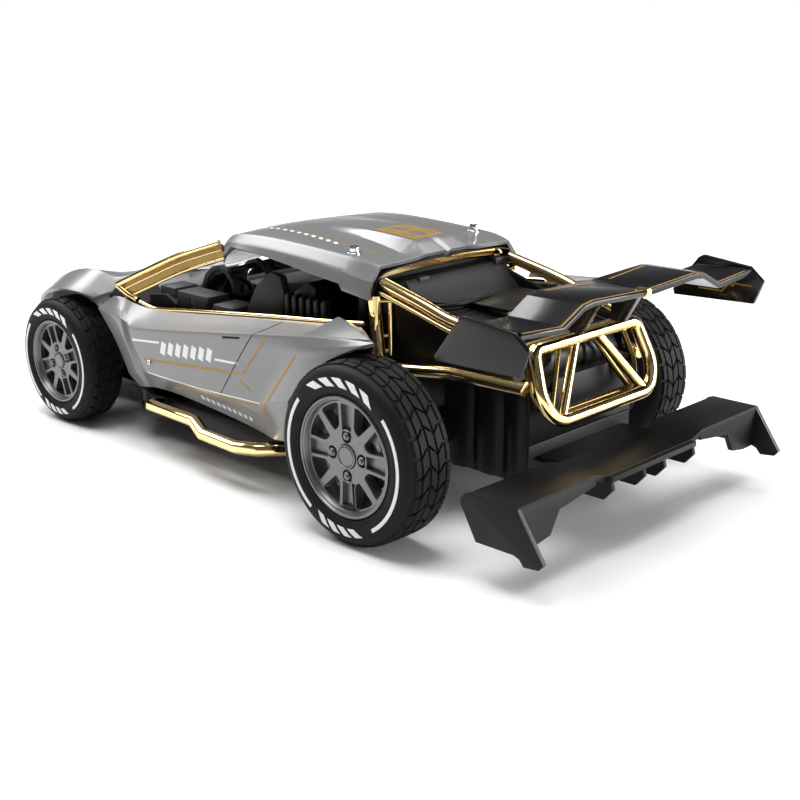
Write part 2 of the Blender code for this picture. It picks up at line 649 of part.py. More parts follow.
def diffuser(finish):
    """Flat tail with raised outer winglets, end plates and fins under it."""
    top = [(0, 31.5), (30, 31.5), (37, 33.8), (82, 33.8)]
    under = [(82, 31.4), (37, 31.4), (30, 29.2), (0, 29.2)]
    half = [(-x, z) for x, z in reversed(top[1:])] + top + under + [(-x, z) for x, z in reversed(under[:3])]
    tail = prism("diffuser", "Y", half, 54.5, 76.5, finish)
    centre = block("diffuser_centre", (-29, 43.4, 29.2), (29, 79, 31.3), finish)
    parts = [centre]
    plate = [(52.7, 33.1), (76.1, 33.6), (88.5, 15.9), (86.6, 13.6), (80.1, 12.8), (78, 15.2), (75.5, 16.1),
             (58.1, 16), (50.6, 29.2), (50.8, 31.2)]
    flange = [(81.5, 32.5), (81.5, 16.5), (72, 16.5), (63, 18), (58, 26.5), (36, 29.5), (36, 32.5)]
    for side, name in SIDE_NAMES.items():
        low, high = sorted((side * 80.5, side * 82.6))
        parts.append(prism(name + "_tail_plate", "X", plate, low, high, finish))
        parts.append(prism(name + "_flange", "Y", flip(flange, side), 74.3, 76.6, finish))
        for x in (7, 28):
            fin = [(50, 30), (78, 30), (79, 26), (75, 21.5), (66, 21.5)]
            low, high = sorted((side * (x - 0.9), side * (x + 0.9)))
            parts.append(prism(f"{name}_fin_{x}", "X", fin, low, high, finish))
    return combine(tail, "UNION", *parts)


# ---------------------------------------------------------------- the car

def wheels(rubber, gunmetal, knuckles, drive_pieces):
    rear_pieces = list(drive_pieces)
    for side, name in SIDE_NAMES.items():
        axle = (0, REAR_RADIUS)
        rear_pieces.append(tyre(f"rear_{name}_tyre", side, axle, REAR_TYRE_X, 1.0, rubber))
        rear_pieces.append(rim(f"rear_{name}_rim", side, axle, REAR_TYRE_X[1], 1.0, SHAFT_R + GAP,
                               REAR_TYRE_X[1] - 6.2, gunmetal))
        axle = (FRONT, FRONT_RADIUS)
        front = [tyre(f"front_{name}_tyre", side, axle, FRONT_TYRE_X, FRONT_SCALE, rubber)]
        front.append(rim(f"front_{name}_rim", side, axle, FRONT_TYRE_X[1], FRONT_SCALE,
                         FRONT_STUB_R + 0.08, 78.5, gunmetal))
        carry(f"front_{name}_spin", (side * 71, FRONT, FRONT_RADIUS), front, knuckles[side])
    carry("rear_axle_spin", (0, 0, REAR_RADIUS), rear_pieces)


def main():
    """Makes every piece of the car in its place, with an empty on each moving body's axis."""
    for old in list(bpy.data.objects):
        bpy.data.objects.remove(old)
    silver = material("silver_paint", (0.42, 0.43, 0.44), 0.35, 0.3)
    gold = material("gold_chrome", (0.85, 0.68, 0.32), 0.12, 1.0)
    black = material("black_plastic", (0.03, 0.03, 0.032), 0.4)
    gloss = material("black_gloss", (0.02, 0.02, 0.02), 0.15)
    rubber = material("tyre_rubber", (0.04, 0.04, 0.042), 0.7)
    gunmetal = material("gunmetal", (0.2, 0.2, 0.21), 0.35, 0.8)
    steel = material("steel", (0.6, 0.6, 0.62), 0.25, 1.0)
    brass = material("brass", (0.7, 0.55, 0.25), 0.3, 1.0)
    white = material("white_nylon", (0.8, 0.8, 0.78), 0.5)
    cell = material("battery_wrap", (0.05, 0.12, 0.3), 0.35)
    green = material("board_green", (0.02, 0.2, 0.08), 0.4)

    chassis(black)
    electrics(black, cell, green)
    knuckles = {side: knuckle(side, black) for side in (1, -1)}
    for side in (1, -1):
        steering_fork(side, black, steel)
        side_panel(side, silver)
        window_rails(side, gold)
        cage(side, gold)
        side_step(side, gold)
        wing(side, gloss)
    tie_rod(black)
    steering_servo(black, white)
    wheels(rubber, gunmetal, knuckles, drive_train(steel, brass, white, black))
    front_shell(silver)
    front_bumper(black)
    roof(silver)
    window_bar(gold)
    rear_frame(gold)
    cockpit(black, black)
    engine_cover(black)
    diffuser(black)


main()
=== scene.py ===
"""The looks of the remote control car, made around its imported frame.

Lengths here are in millimetres unless a name says otherwise: x to the car's left, y from the rear
axle towards the tail, z up from the ground. at() turns such a point into metres in the frame.
"""
import json
import math
from collections import namedtuple

import bmesh
import bpy
from mathutils import Matrix, Vector
from mathutils.bvhtree import BVHTree

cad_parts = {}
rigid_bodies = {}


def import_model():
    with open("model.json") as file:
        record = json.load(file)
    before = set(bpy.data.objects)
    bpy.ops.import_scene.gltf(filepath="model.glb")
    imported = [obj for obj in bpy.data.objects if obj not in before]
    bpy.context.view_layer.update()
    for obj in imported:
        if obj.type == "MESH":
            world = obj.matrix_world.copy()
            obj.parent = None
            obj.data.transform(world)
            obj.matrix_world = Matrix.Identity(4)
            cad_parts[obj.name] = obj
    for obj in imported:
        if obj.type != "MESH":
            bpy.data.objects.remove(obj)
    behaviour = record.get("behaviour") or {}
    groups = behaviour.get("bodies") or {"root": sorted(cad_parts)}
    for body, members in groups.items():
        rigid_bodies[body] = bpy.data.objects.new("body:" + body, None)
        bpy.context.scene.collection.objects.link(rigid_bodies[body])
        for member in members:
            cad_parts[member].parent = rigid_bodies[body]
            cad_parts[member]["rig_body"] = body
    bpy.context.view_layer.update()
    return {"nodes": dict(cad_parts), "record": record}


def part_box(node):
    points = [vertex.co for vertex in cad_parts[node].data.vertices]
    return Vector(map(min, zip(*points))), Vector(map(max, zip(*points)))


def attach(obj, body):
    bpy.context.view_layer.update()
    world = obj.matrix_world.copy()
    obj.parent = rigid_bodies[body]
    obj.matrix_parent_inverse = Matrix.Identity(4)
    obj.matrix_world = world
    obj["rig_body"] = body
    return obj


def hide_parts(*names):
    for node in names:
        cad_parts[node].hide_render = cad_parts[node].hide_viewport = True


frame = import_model()

MM = 0.001
AXLE_Y = sum(corner.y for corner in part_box("rear_axle")) / 2
SIDE_NAMES = {1: "left", -1: "right"}


def at(x, y, z):
    return Vector((x * MM, y * MM + AXLE_Y, z * MM))


def flipped(points, side):
    return [(side * p[0], *p[1:]) for p in points]


def placed(name, data):
    """A new object in the scene."""
    made = bpy.data.objects.new(name, data)
    bpy.context.scene.collection.objects.link(made)
    return made


# ---------------------------------------------------------------- camera, light and floor

CAMERA_PLACE_M = (0.40864, 0.43086, 0.199465)
CAMERA_TURN_DEG = (134.057, 16.923, -0.295)
CAMERA_LENS_MM = 58.195
SKY_BELT = ((0.0, 1.0), (0.03, 1.0), (0.06, 0.16), (0.42, 0.06), (0.62, 0.16), (1.0, 0.24))
FLOOR_HALF_M = 60.0
GLOW_START_M, GLOW_END_M, GLOW_LEVEL = 0.42, 1.5, 0.9


def camera():
    """Stands behind the car on its left, a little above the wing, and looks along its length."""
    azimuth, elevation, roll = (math.radians(a) for a in CAMERA_TURN_DEG)
    data = bpy.data.cameras.new("camera")
    data.lens = CAMERA_LENS_MM
    data.sensor_width = 36.0
    made = placed("camera", data)
    turn = Matrix.Rotation(azimuth, 4, "Z") @ Matrix.Rotation(math.radians(90) - elevation, 4, "X")
    made.matrix_world = Matrix.Translation(CAMERA_PLACE_M) @ turn @ Matrix.Rotation(roll, 4, "Z")
    bpy.context.scene.camera = made


def softbox(name, azimuth, elevation, distance, size, watts):
    """A rectangular area light that faces the car. Azimuth 0 is in front of it, at -y."""
    a, e = math.radians(azimuth), math.radians(elevation)
    away = Vector((math.sin(a) * math.cos(e), -math.cos(a) * math.cos(e), math.sin(e)))
    data = bpy.data.lights.new(name, "AREA")
    data.energy = watts
    data.shape = "RECTANGLE"
    data.size, data.size_y = size
    facing = away.to_track_quat("Z", "Y").to_matrix().to_4x4()
    placed(name, data).matrix_world = Matrix.Translation(away * distance) @ facing


def studio():
    """Soft sky with a dark belt for the metal to reflect, four softboxes and a white floor."""
    world = bpy.data.worlds.new("studio")
    world.use_nodes = True
    tree = world.node_tree
    height = add(tree, "SeparateXYZ", {0: add(tree, "TexCoord").outputs["Generated"]}).outputs["Z"]
    ramp = add(tree, "ValToRGB", {0: height})
    while len(ramp.color_ramp.elements) < len(SKY_BELT):
        ramp.color_ramp.elements.new(0.5)
    for stop, (place, level) in zip(ramp.color_ramp.elements, SKY_BELT):
        stop.position = place
        stop.color = (level, level, level, 1.0)
    background = tree.nodes["Background"]
    tree.links.new(ramp.outputs[0], background.inputs["Color"])
    background.inputs["Strength"].default_value = 1.0
    bpy.context.scene.world = world

    softbox("key", 3, 45, 1.5, (1.5, 0.5), 19.0)
    softbox("tail", 221, 13, 1.5, (0.9, 0.4), 20.0)
    softbox("far", 268, 54, 1.6, (0.6, 0.5), 5.0)
    softbox("top", 60, 85, 1.5, (0.9, 0.9), 20.0)
    bpy.context.scene.view_settings.view_transform = "Standard"

    bm = bmesh.new()
    bmesh.ops.create_grid(bm, x_segments=1, y_segments=1, size=FLOOR_HALF_M)
    mesh = bpy.data.meshes.new("floor")
    bm.to_mesh(mesh)
    bm.free()
    floor = placed("floor", mesh)
    mesh.materials.append(floor_finish())


def floor_finish():
    """White under the car, and glowing a little further out so that it stays white to the horizon."""
    material = finish("floor_white", (0.93, 0.93, 0.93), (0.9, 0.9, 0.9), 0.9, grain=400, bump=0.0)
    tree = material.node_tree
    shader = tree.nodes["Principled BSDF"]
    distance = add(tree, "VectorMath", {0: add(tree, "TexCoord").outputs["Object"]}, operation="LENGTH")
    glow = add(tree, "MapRange", {"Value": distance.outputs["Value"], "From Min": GLOW_START_M,
                                  "From Max": GLOW_END_M, "To Min": 0.0, "To Max": GLOW_LEVEL})
    tree.links.new(glow.outputs[0], shader.inputs["Emission Strength"])
    shader.inputs["Emission Color"].default_value = (1.0, 1.0, 1.0, 1.0)
    shader.inputs["Specular IOR Level"].default_value = 0.0
    return material


# ---------------------------------------------------------------- materials

def add(tree, kind, values=None, **settings):
    """A shader node with its settings, its constants and its links."""
    made = tree.nodes.new("ShaderNode" + kind)
    for key, value in settings.items():
        setattr(made, key, value)
    for socket, value in (values or {}).items():
        if isinstance(value, bpy.types.NodeSocket):
            tree.links.new(value, made.inputs[socket])
        else:
            made.inputs[socket].default_value = value
    return made


def between(tree, share, low, high):
    """A colour between two, by a share that varies over the surface."""
    made = add(tree, "Mix", {0: share}, data_type="RGBA")
    made.inputs[6].default_value = (*low, 1.0)
    made.inputs[7].default_value = (*high, 1.0)
    return made.outputs[2]


def finish(name, light, dark, rough, metal=0.0, drift=45.0, grain=2600.0, bump=0.06, spread=0.08,
           **constants):
    """A finish whose colour and roughness drift slowly, over a fine grain that also bumps the surface."""
    material = bpy.data.materials.new(name)
    material.use_nodes = True
    tree = material.node_tree
    shader = tree.nodes["Principled BSDF"]
    where = add(tree, "TexCoord").outputs["Object"]
    slow = add(tree, "TexNoise", {"Vector": where, "Scale": drift, "Detail": 5.0,
                                  "Roughness": 0.6}).outputs[0]
    fine = add(tree, "TexNoise", {"Vector": where, "Scale": grain, "Detail": 3.0}).outputs[0]
    blend = add(tree, "Math", {0: slow, 1: fine}, operation="MULTIPLY_ADD")
    blend.inputs[2].default_value = 0.2
    tree.links.new(between(tree, blend.outputs[0], dark, light), shader.inputs["Base Color"])
    gloss = add(tree, "MapRange", {"Value": slow, "To Min": rough - spread / 2,
                                   "To Max": rough + spread / 2})
    tree.links.new(gloss.outputs[0], shader.inputs["Roughness"])
    if bump:
        relief = add(tree, "Bump", {"Height": fine, "Strength": bump, "Distance": 0.00012})
        tree.links.new(relief.outputs[0], shader.inputs["Normal"])
    shader.inputs["Metallic"].default_value = metal
    for socket, value in constants.items():
        shader.inputs[socket.replace("_", " ")].default_value = value
    return material


def paints():
    """Every finish by the name of its slot in the record, with the extra printed colours and the extra
    colours that paint shade and highlights.
    """
    return {
        "silver_paint": finish("silver_paint", (0.215, 0.215, 0.22), (0.17, 0.17, 0.175), 0.33, 0.2,
                               grain=5200, bump=0.10, Coat_Weight=0.4, Coat_Roughness=0.16),
        "gold_chrome": finish("gold_chrome", (0.98, 0.78, 0.42), (0.88, 0.64, 0.29), 0.09, 1.0, drift=90,
                              grain=900, bump=0.05, spread=0.05),
        "black_plastic": finish("black_plastic", (0.0075, 0.0075, 0.008), (0.0040, 0.0040, 0.0043), 0.40,
                                grain=4200, bump=0.22, Specular_IOR_Level=0.22),
        "black_gloss": finish("black_gloss", (0.0060, 0.0060, 0.0064), (0.0030, 0.0030, 0.0033), 0.22,
                              grain=2600, bump=0.04, Specular_IOR_Level=0.3, Coat_Weight=0.12,
        Coat_Roughness=0.05),
        "tyre_rubber": finish("tyre_rubber", (0.010, 0.010, 0.0105), (0.0045, 0.0045, 0.005), 0.60,
                              drift=160, grain=3600, bump=0.30, spread=0.16, Specular_IOR_Level=0.16),
        "gunmetal": finish("gunmetal", (0.24, 0.24, 0.245), (0.13, 0.13, 0.135), 0.34, 0.8, grain=3800,
                           bump=0.14),
        "steel": finish("steel", (0.82, 0.82, 0.84), (0.60, 0.60, 0.63), 0.14, 1.0, grain=1800, bump=0.05),
        "brass": finish("brass", (0.80, 0.58, 0.26), (0.60, 0.40, 0.15), 0.26, 1.0, grain=2200, bump=0.10),
        "white_nylon": finish("white_nylon", (0.72, 0.70, 0.65), (0.60, 0.58, 0.53), 0.45, grain=2400,
                              bump=0.12, Subsurface_Weight=0.1),
        "battery_wrap": finish("battery_wrap", (0.02, 0.05, 0.16), (0.01, 0.03, 0.10), 0.32, grain=1500,
                               bump=0.08),
        "board_green": finish("board_green", (0.02, 0.17, 0.07), (0.01, 0.09, 0.04), 0.40, drift=500,
                              grain=1800, bump=0.15),
        # White print for the decals and the tyre marks, also used for the painted highlights along the
        # headlamps.
        "white_print_and_glint": finish("white_print_and_glint", (0.86, 0.86, 0.86), (0.74, 0.74, 0.74), 0.45, grain=3000,
                              bump=0.08),
        "gold_print": finish("gold_print", (0.38, 0.21, 0.018), (0.30, 0.16, 0.012), 0.42, grain=3000,
                             bump=0.08),
        # Near-black painted shade: laid in the bottom of the carved seams, on the vents and pockets, and
        # behind the fender vents.
        "painted_shade_black": finish("painted_shade_black", (0.012, 0.012, 0.012), (0.006, 0.006, 0.006), 0.7, grain=3000,
                             bump=0.1),
        # A darker copy of the gold chrome: painted shade for the pillar's web between its rails and for the
        # inner truss loop.
        "gold_painted_shade": finish("gold_painted_shade", (0.34, 0.24, 0.09), (0.16, 0.11, 0.035), 0.28, 1.0, drift=120,
                             grain=1500),
        "cabin_grey": finish("cabin_grey", (0.036, 0.036, 0.037), (0.020, 0.020, 0.021), 0.5, grain=3600,
                             bump=0.3, Specular_IOR_Level=0.3),
        "steel_dark": finish("steel_dark", (0.16, 0.16, 0.17), (0.09, 0.09, 0.10), 0.34, 0.9, drift=300,
                             grain=3000),
    }


# ---------------------------------------------------------------- mesh helpers

def shown(name, shape, slot, body="chassis", angle=32, replaces=()):
    """Puts a mesh or a bmesh into the scene as one piece that rides on a body and wears a finish."""
    mesh = as_mesh(shape, name) if isinstance(shape, bmesh.types.BMesh) else shape
    mesh.shade_smooth()
    mesh.set_sharp_from_angle(angle=math.radians(angle))
    mesh.materials.clear()
    mesh.materials.append(FINISHES[slot])
    made = placed(name, mesh)
    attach(made, body)
    if replaces:
        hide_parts(*replaces)
    return made


def rounded(bm, width, angle=30, segments=2):
    """Rounds the edges that turn by more than an angle."""
    edges = [e for e in bm.edges if len(e.link_faces) == 2 and e.calc_face_angle() > math.radians(angle)]
    bmesh.ops.bevel(bm, geom=edges, offset=width * MM, segments=segments, profile=0.5, affect="EDGES",
                    clamp_overlap=True)


def as_mesh(bm, name):
    bmesh.ops.recalc_face_normals(bm, faces=bm.faces)
    mesh = bpy.data.meshes.new(name)
    bm.to_mesh(mesh)
    bm.free()
    return mesh


def cad_bmesh(node):
    """The node's own solid, with the seams between its triangles closed and its flat faces whole."""
    bm = bmesh.new()
    bm.from_mesh(frame["nodes"][node].data)
    bmesh.ops.remove_doubles(bm, verts=bm.verts, dist=1e-6)
    bmesh.ops.dissolve_limit(bm, angle_limit=math.radians(0.6), verts=bm.verts, edges=bm.edges)
    return bm


def moulded(node, slot, bevel=0.35, angle=25, segments=2):
    """A CAD solid given rounded edges, standing for its node."""
    bm = cad_bmesh(node)
    rounded(bm, bevel, angle, segments)
    return shown(node + "_moulding", bm, slot, body_of(node), angle=40, replaces=(node,))


def body_of(node):
    return frame["nodes"][node]["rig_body"]


def prism_bmesh(axis, outline, low, high):
    """An outline across an axis, drawn out from low to high along it."""
    bm = bmesh.new()
    ends = []
    for along in (low, high):
        ring = []
        for a, b in outline:
            ring.append(bm.verts.new(at(*{"X": (along, a, b), "Y": (a, along, b),
                                          "Z": (a, b, along)}[axis])))
        ends.append(ring)
        bm.faces.new(ring)
    join(bm, ends[0], ends[1])
    return bm


def join(bm, first, second):
    count = max(len(first), len(second))
    for i in range(count):
        j = (i + 1) % count
        corners = [first[i % len(first)], first[j % len(first)], second[j % len(second)],
                   second[i % len(second)]]
        bm.faces.new(list(dict.fromkeys(corners)))


def prism(name, axis, outline, low, high, slot, bevel=0.3):
    bm = prism_bmesh(axis, outline, low, high)
    bmesh.ops.recalc_face_normals(bm, faces=bm.faces)
    if bevel:
        rounded(bm, bevel)
    return shown(name, bm, slot, angle=40)


def block(name, low, high, slot, bevel=0.3):
    outline = [(low[0], low[1]), (high[0], low[1]), (high[0], high[1]), (low[0], high[1])]
    return prism(name, "Z", outline, low[2], high[2], slot, bevel)


def smooth_path(points, steps=6, closed=False):
    """Points along a Catmull-Rom curve through the given ones."""
    path = [Vector(p) for p in points]
    count = len(path)
    found = []
    for i in range(count if closed else count - 1):
        before = path[(i - 1) % count] if (i or closed) else path[0] * 2 - path[1]
        start, end = path[i], path[(i + 1) % count]
        after = path[(i + 2) % count] if (i + 2 < count or closed) else path[-1] * 2 - path[-2]
        for k in range(steps):
            t = k / steps
            square = 2 * before - 5 * start + 4 * end - after
            cube = 3 * start - before - 3 * end + after
            found.append(0.5 * (2 * start + (end - before) * t + square * t ** 2 + cube * t ** 3))
    if not closed:
        found.append(path[-1])
    return found


def bend(corner, before, after, radius, steps=8):
    """Points that round a corner of a path."""
    corner, before, after = Vector(corner), Vector(before), Vector(after)
    start = corner + (before - corner).normalized() * radius
    end = corner + (after - corner).normalized() * radius
    return [start * (1 - t) ** 2 + corner * 2 * t * (1 - t) + end * t * t
            for t in (i / steps for i in range(steps + 1))]


def ring_of(count, place):
    """Points round a ring, from a function that puts one at an angle."""
    return [place(2 * math.pi * k / count) for k in range(count)]


def ringed_bmesh(rings, ends="open", bm=None):
    """Skins a shape through rings of points. Its ends are open, capped, or joined to each other."""
    bm = bm or bmesh.new()
    made = [[bm.verts.new(point) for point in ring] for ring in rings]
    for one, two in zip(made, made[1:]):
        join(bm, one, two)
    if ends == "joined":
        join(bm, made[-1], made[0])
    if ends == "capped" and len(made) > 1:
        bm.faces.new(made[0])
        bm.faces.new(made[-1])
    return bm


def tube_bmesh(points, section, closed=False, bm=None):
    """Sweeps a section, in millimetres (across, up), along points."""
    path = [at(*p) for p in points]
    rings = []
    side = None
    for i, here in enumerate(path):
        before = path[i - 1] if (i or closed) else here
        after = path[(i + 1) % len(path)] if (i + 1 < len(path) or closed) else here
        along = ((here - before).normalized() + (after - here).normalized()).normalized()
        if side is None:
            side = along.cross(Vector((0.02, 0.01, 1.0))).normalized()
        side = (side - along * side.dot(along)).normalized()
        up = side.cross(along)
        rings.append([here + (side * a + up * b) * MM for a, b in section])
    return ringed_bmesh(rings, "joined" if closed else "capped", bm)


def circle(radius, sides=20):
    return ring_of(sides, lambda angle: polar(radius, angle))


def tube(name, points, radius, slot, replaces=(), sides=20):
    return shown(name, tube_bmesh(points, circle(radius, sides)), slot, angle=50, replaces=replaces)


# A wheel's side of the car, the middle of its outer face in metres, its radius and width in millimetres,
# and its size beside the one that the outlines below are drawn for.
Wheel = namedtuple("Wheel", "side centre radius width scale")
DRAWN_RADIUS = 36.4


def turned_bmesh(wheel, profile, steps=96, bm=None):
    """Turns (radius, depth) points about a wheel's axis. Depth runs inward from the outer face."""
    rings = [ring_of(steps if radius > 0 else 1, lambda angle: wheel_point(wheel, radius, angle, depth))
             for radius, depth in profile]
    return ringed_bmesh(rings, "joined" if profile[0][0] > 0 else "open", bm)


def wheel_angle(side, angle):
    """An angle counted towards the car's front as seen from that wheel's outer side."""
    return angle if side > 0 else math.pi - angle


def wheel_point(wheel, radius, angle, depth):
    return wheel.centre + Vector((-wheel.side * depth, radius * math.cos(angle),
                                  radius * math.sin(angle))) * MM


# ---------------------------------------------------------------- tyres

def tyre_profile(scale, width):
    """(radius, depth) round the carcass, from the bead on the outer side to the bead on the inner one."""
    outer = [(24.2, 3.2), (24.3, 1.5), (24.9, 0.7), (25.6, 0.75), (26.0, 0.45), (28.0, 0.1), (30.2, 0.0),
             (32.4, 0.45), (33.9, 1.3), (34.9, 2.5), (35.35, 3.9)]
    outer = [(r * scale, d) for r, d in outer]
    return outer + [(r, width - d) for r, d in reversed(outer)]


def crown(wheel, depth):
    """The tread's radius, a little less towards its shoulders."""
    share = (depth - wheel.width / 2) / (wheel.width / 2)
    return wheel.radius - 1.6 * abs(share) ** 5


def tread_block(bm, wheel, angles, depths):
    """One closed block with sloped top edges. angles are (outer start, end, inner start, end)."""
    depth_a, depth_b = depths
    rings = []
    for drop, shrink in ((2.4, 0.0), (0.28, 0.0), (0.0, 0.22)):
        turn = shrink / wheel.radius
        ring = []
        for depth, start, end in ((depth_a + shrink, angles[0], angles[1]),
                                  (depth_b - shrink, angles[3], angles[2])):
            turn_here = turn if end > start else -turn
            for share in (0.0, 0.5, 1.0):
                angle = (start + turn_here) * (1 - share) + (end - turn_here) * share
                ring.append(bm.verts.new(wheel_point(wheel, crown(wheel, depth) - drop, angle, depth)))
        rings.append(ring)
    join(bm, rings[0], rings[1])
    join(bm, rings[1], rings[2])
    for ring in (rings[0], rings[2]):
        bm.faces.new((ring[0], ring[1], ring[4], ring[5]))
        bm.faces.new((ring[1], ring[2], ring[3], ring[4]))


def tread(bm, wheel, units):
    """Columns of slanted blocks in a herringbone, with plain shoulder blocks outside them."""
    pitch = 2 * math.pi / units
    groove = 1.15 / wheel.radius
    first, last = 3.9, wheel.width - 3.4
    columns = [(0.0, 0.13, 0.0, 0.0), (0.165, 0.365, 0.42, 0.0), (0.402, 0.598, -0.42, 0.42),
               (0.635, 0.835, 0.42, 0.0), (0.87, 1.0, 0.0, 0.42)]
    for start, end, slant, offset in columns:
        depths = [first + (last - first) * start, first + (last - first) * end]
        for k in range(units):
            near = (k + offset) * pitch
            far = near + slant * pitch
            tread_block(bm, wheel, (near, near + pitch - groove, far, far + pitch - groove), depths)


def tyre(node, side, units):
    low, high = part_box(node)
    radius = (high.z - low.z) / 2 / MM
    width = (high.x - low.x) / MM
    centre = Vector((high.x if side > 0 else low.x, (low.y + high.y) / 2, (low.z + high.z) / 2))
    wheel = Wheel(side, centre, radius, width, radius / DRAWN_RADIUS)
    profile = tyre_profile(wheel.scale, width)
    carcass = turned_bmesh(wheel, profile, 128)
    body = body_of(node)
    shown(node + "_carcass", carcass, "tyre_rubber", body, angle=40, replaces=(node,))
    bm = bmesh.new()
    tread(bm, wheel, units)
    shown(node + "_tread", bm, "tyre_rubber", body, angle=40)
    sidewall_marks(node, wheel, profile, body)
    return wheel


def depth_on(profile, radius):
    """The sidewall's depth at a radius, on the outer side."""
    outer = profile[:len(profile) // 2]
    for (r0, d0), (r1, d1) in zip(outer, outer[1:]):
        if r0 <= radius <= r1:
            return d0 + (d1 - d0) * (radius - r0) / max(r1 - r0, 1e-6)
    return 0.0


def sidewall_marks(node, wheel, profile, body):
    """Two white arcs and two rows of plain slanted bars, printed a little proud of the rubber."""
    bm = bmesh.new()
    sectors = [(math.radians(a), math.radians(b), 29.0, 30.5, 0.0, 24) for a, b in ((-57, 42), (141, 234))]
    for first, last, count in ((58, 128, 5), (245, 291, 4)):
        pitch = (last - first) / count
        for k in range(count):
            start = first + k * pitch
            sectors.append((math.radians(start), math.radians(start + pitch * 0.62), 27.9, 31.3, 0.07, 3))
    for start, end, inner, outer, lean, steps in sectors:
        rings = []
        for share in (i / steps for i in range(steps + 1)):
            angle = start + (end - start) * share
            top, bottom = [], []
            for k in range(5):
                radius = (inner + (outer - inner) * k / 4) * wheel.scale
                turn = wheel_angle(wheel.side, angle + lean * (k / 2 - 1))
                depth = depth_on(profile, radius)
                top.append(wheel_point(wheel, radius, turn, depth - 0.14))
                bottom.append(wheel_point(wheel, radius, turn, depth + 0.3))
            rings.append(top + bottom[::-1])
        ringed_bmesh(rings, "capped", bm)
    shown(node + "_marks", bm, "white_print_and_glint", body, angle=30)


# ---------------------------------------------------------------- rims

def plate_mesh(name, loops, thickness, bevel):
    """A flat plate from an outline and its holes, with rounded edges. Its face is at z 0 and it goes down."""
    data = bpy.data.curves.new(name, "CURVE")
    data.dimensions = "2D"
    data.fill_mode = "BOTH"
    data.extrude = (thickness / 2 - bevel) * MM
    data.bevel_depth = bevel * MM
    data.bevel_resolution = 1
    data.offset = -bevel * MM
    for loop in loops:
        spline = data.splines.new("POLY")
        spline.points.add(len(loop) - 1)
        spline.use_cyclic_u = True
        for point, (a, b) in zip(spline.points, loop):
            point.co = (a * MM, b * MM, 0.0, 1.0)
    holder = placed(name, data)
    mesh = baked(holder)
    bpy.data.objects.remove(holder)
    mesh.transform(Matrix.Translation((0, 0, -thickness / 2 * MM)))
    return mesh


def on_wheel(mesh, wheel, depth, turn):
    """Stands a plate in a wheel, its face at a depth behind the outer side."""
    side = wheel.side
    facing = Matrix(((0, 0, side, 0), (side, 0, 0, 0), (0, 1, 0, 0), (0, 0, 0, 1)))
    shift = Matrix.Translation(wheel.centre + Vector((-side * depth * MM, 0, 0)))
    mesh.transform(shift @ facing @ Matrix.Rotation(turn, 4, "Z"))
    return mesh


def polar(radius, angle):
    return (radius * math.cos(angle), radius * math.sin(angle))


def softened(loop, radius, steps=4):
    """A closed outline with its corners rounded."""
    found = []
    count = len(loop)
    for i in range(count):
        corner, before, after = Vector(loop[i]), Vector(loop[i - 1]), Vector(loop[(i + 1) % count])
        reach = min(radius, (before - corner).length * 0.45, (after - corner).length * 0.45)
        found += [tuple(point) for point in bend(corner, before, after, reach, steps)]
    return found


def window_loop(wide_angle, narrow_angle, scale):
    """One opening between a wide spoke and the narrow spoke beside it."""
    wide_half, narrow_half = 4.6, 1.5
    inner, outer = 11.0, 20.9
    def edge(angle, half, radius, sign):
        lean = math.asin(half / radius)
        return polar(radius * scale, angle + sign * lean)
    sign = 1 if narrow_angle > wide_angle else -1
    loop = [edge(wide_angle, wide_half - 0.6, inner + 1.2, sign), edge(wide_angle, wide_half, outer, sign)]
    span_end = narrow_angle - sign * math.asin(narrow_half / outer)
    span_start = wide_angle + sign * math.asin(wide_half / outer)
    for k in (1, 2, 3):
        loop.append(polar(outer * scale, span_start + (span_end - span_start) * k / 4))
    loop.append(edge(narrow_angle, narrow_half, outer, -sign))
    loop.append(edge(narrow_angle, narrow_half + 0.5, inner, -sign))
    return softened(loop, 1.3 * scale)


def channel_loop(angle, scale):
    """The sunken channel down the middle of a wide spoke."""
    corners = [(10.2, -2.3), (20.4, -3.0), (20.4, 3.0), (10.2, 2.3)]
    turned = []
    for along, across in corners:
        c, s = math.cos(angle), math.sin(angle)
        turned.append(((along * c - across * s) * scale, (along * s + across * c) * scale))
    return softened(turned, 0.6 * scale)


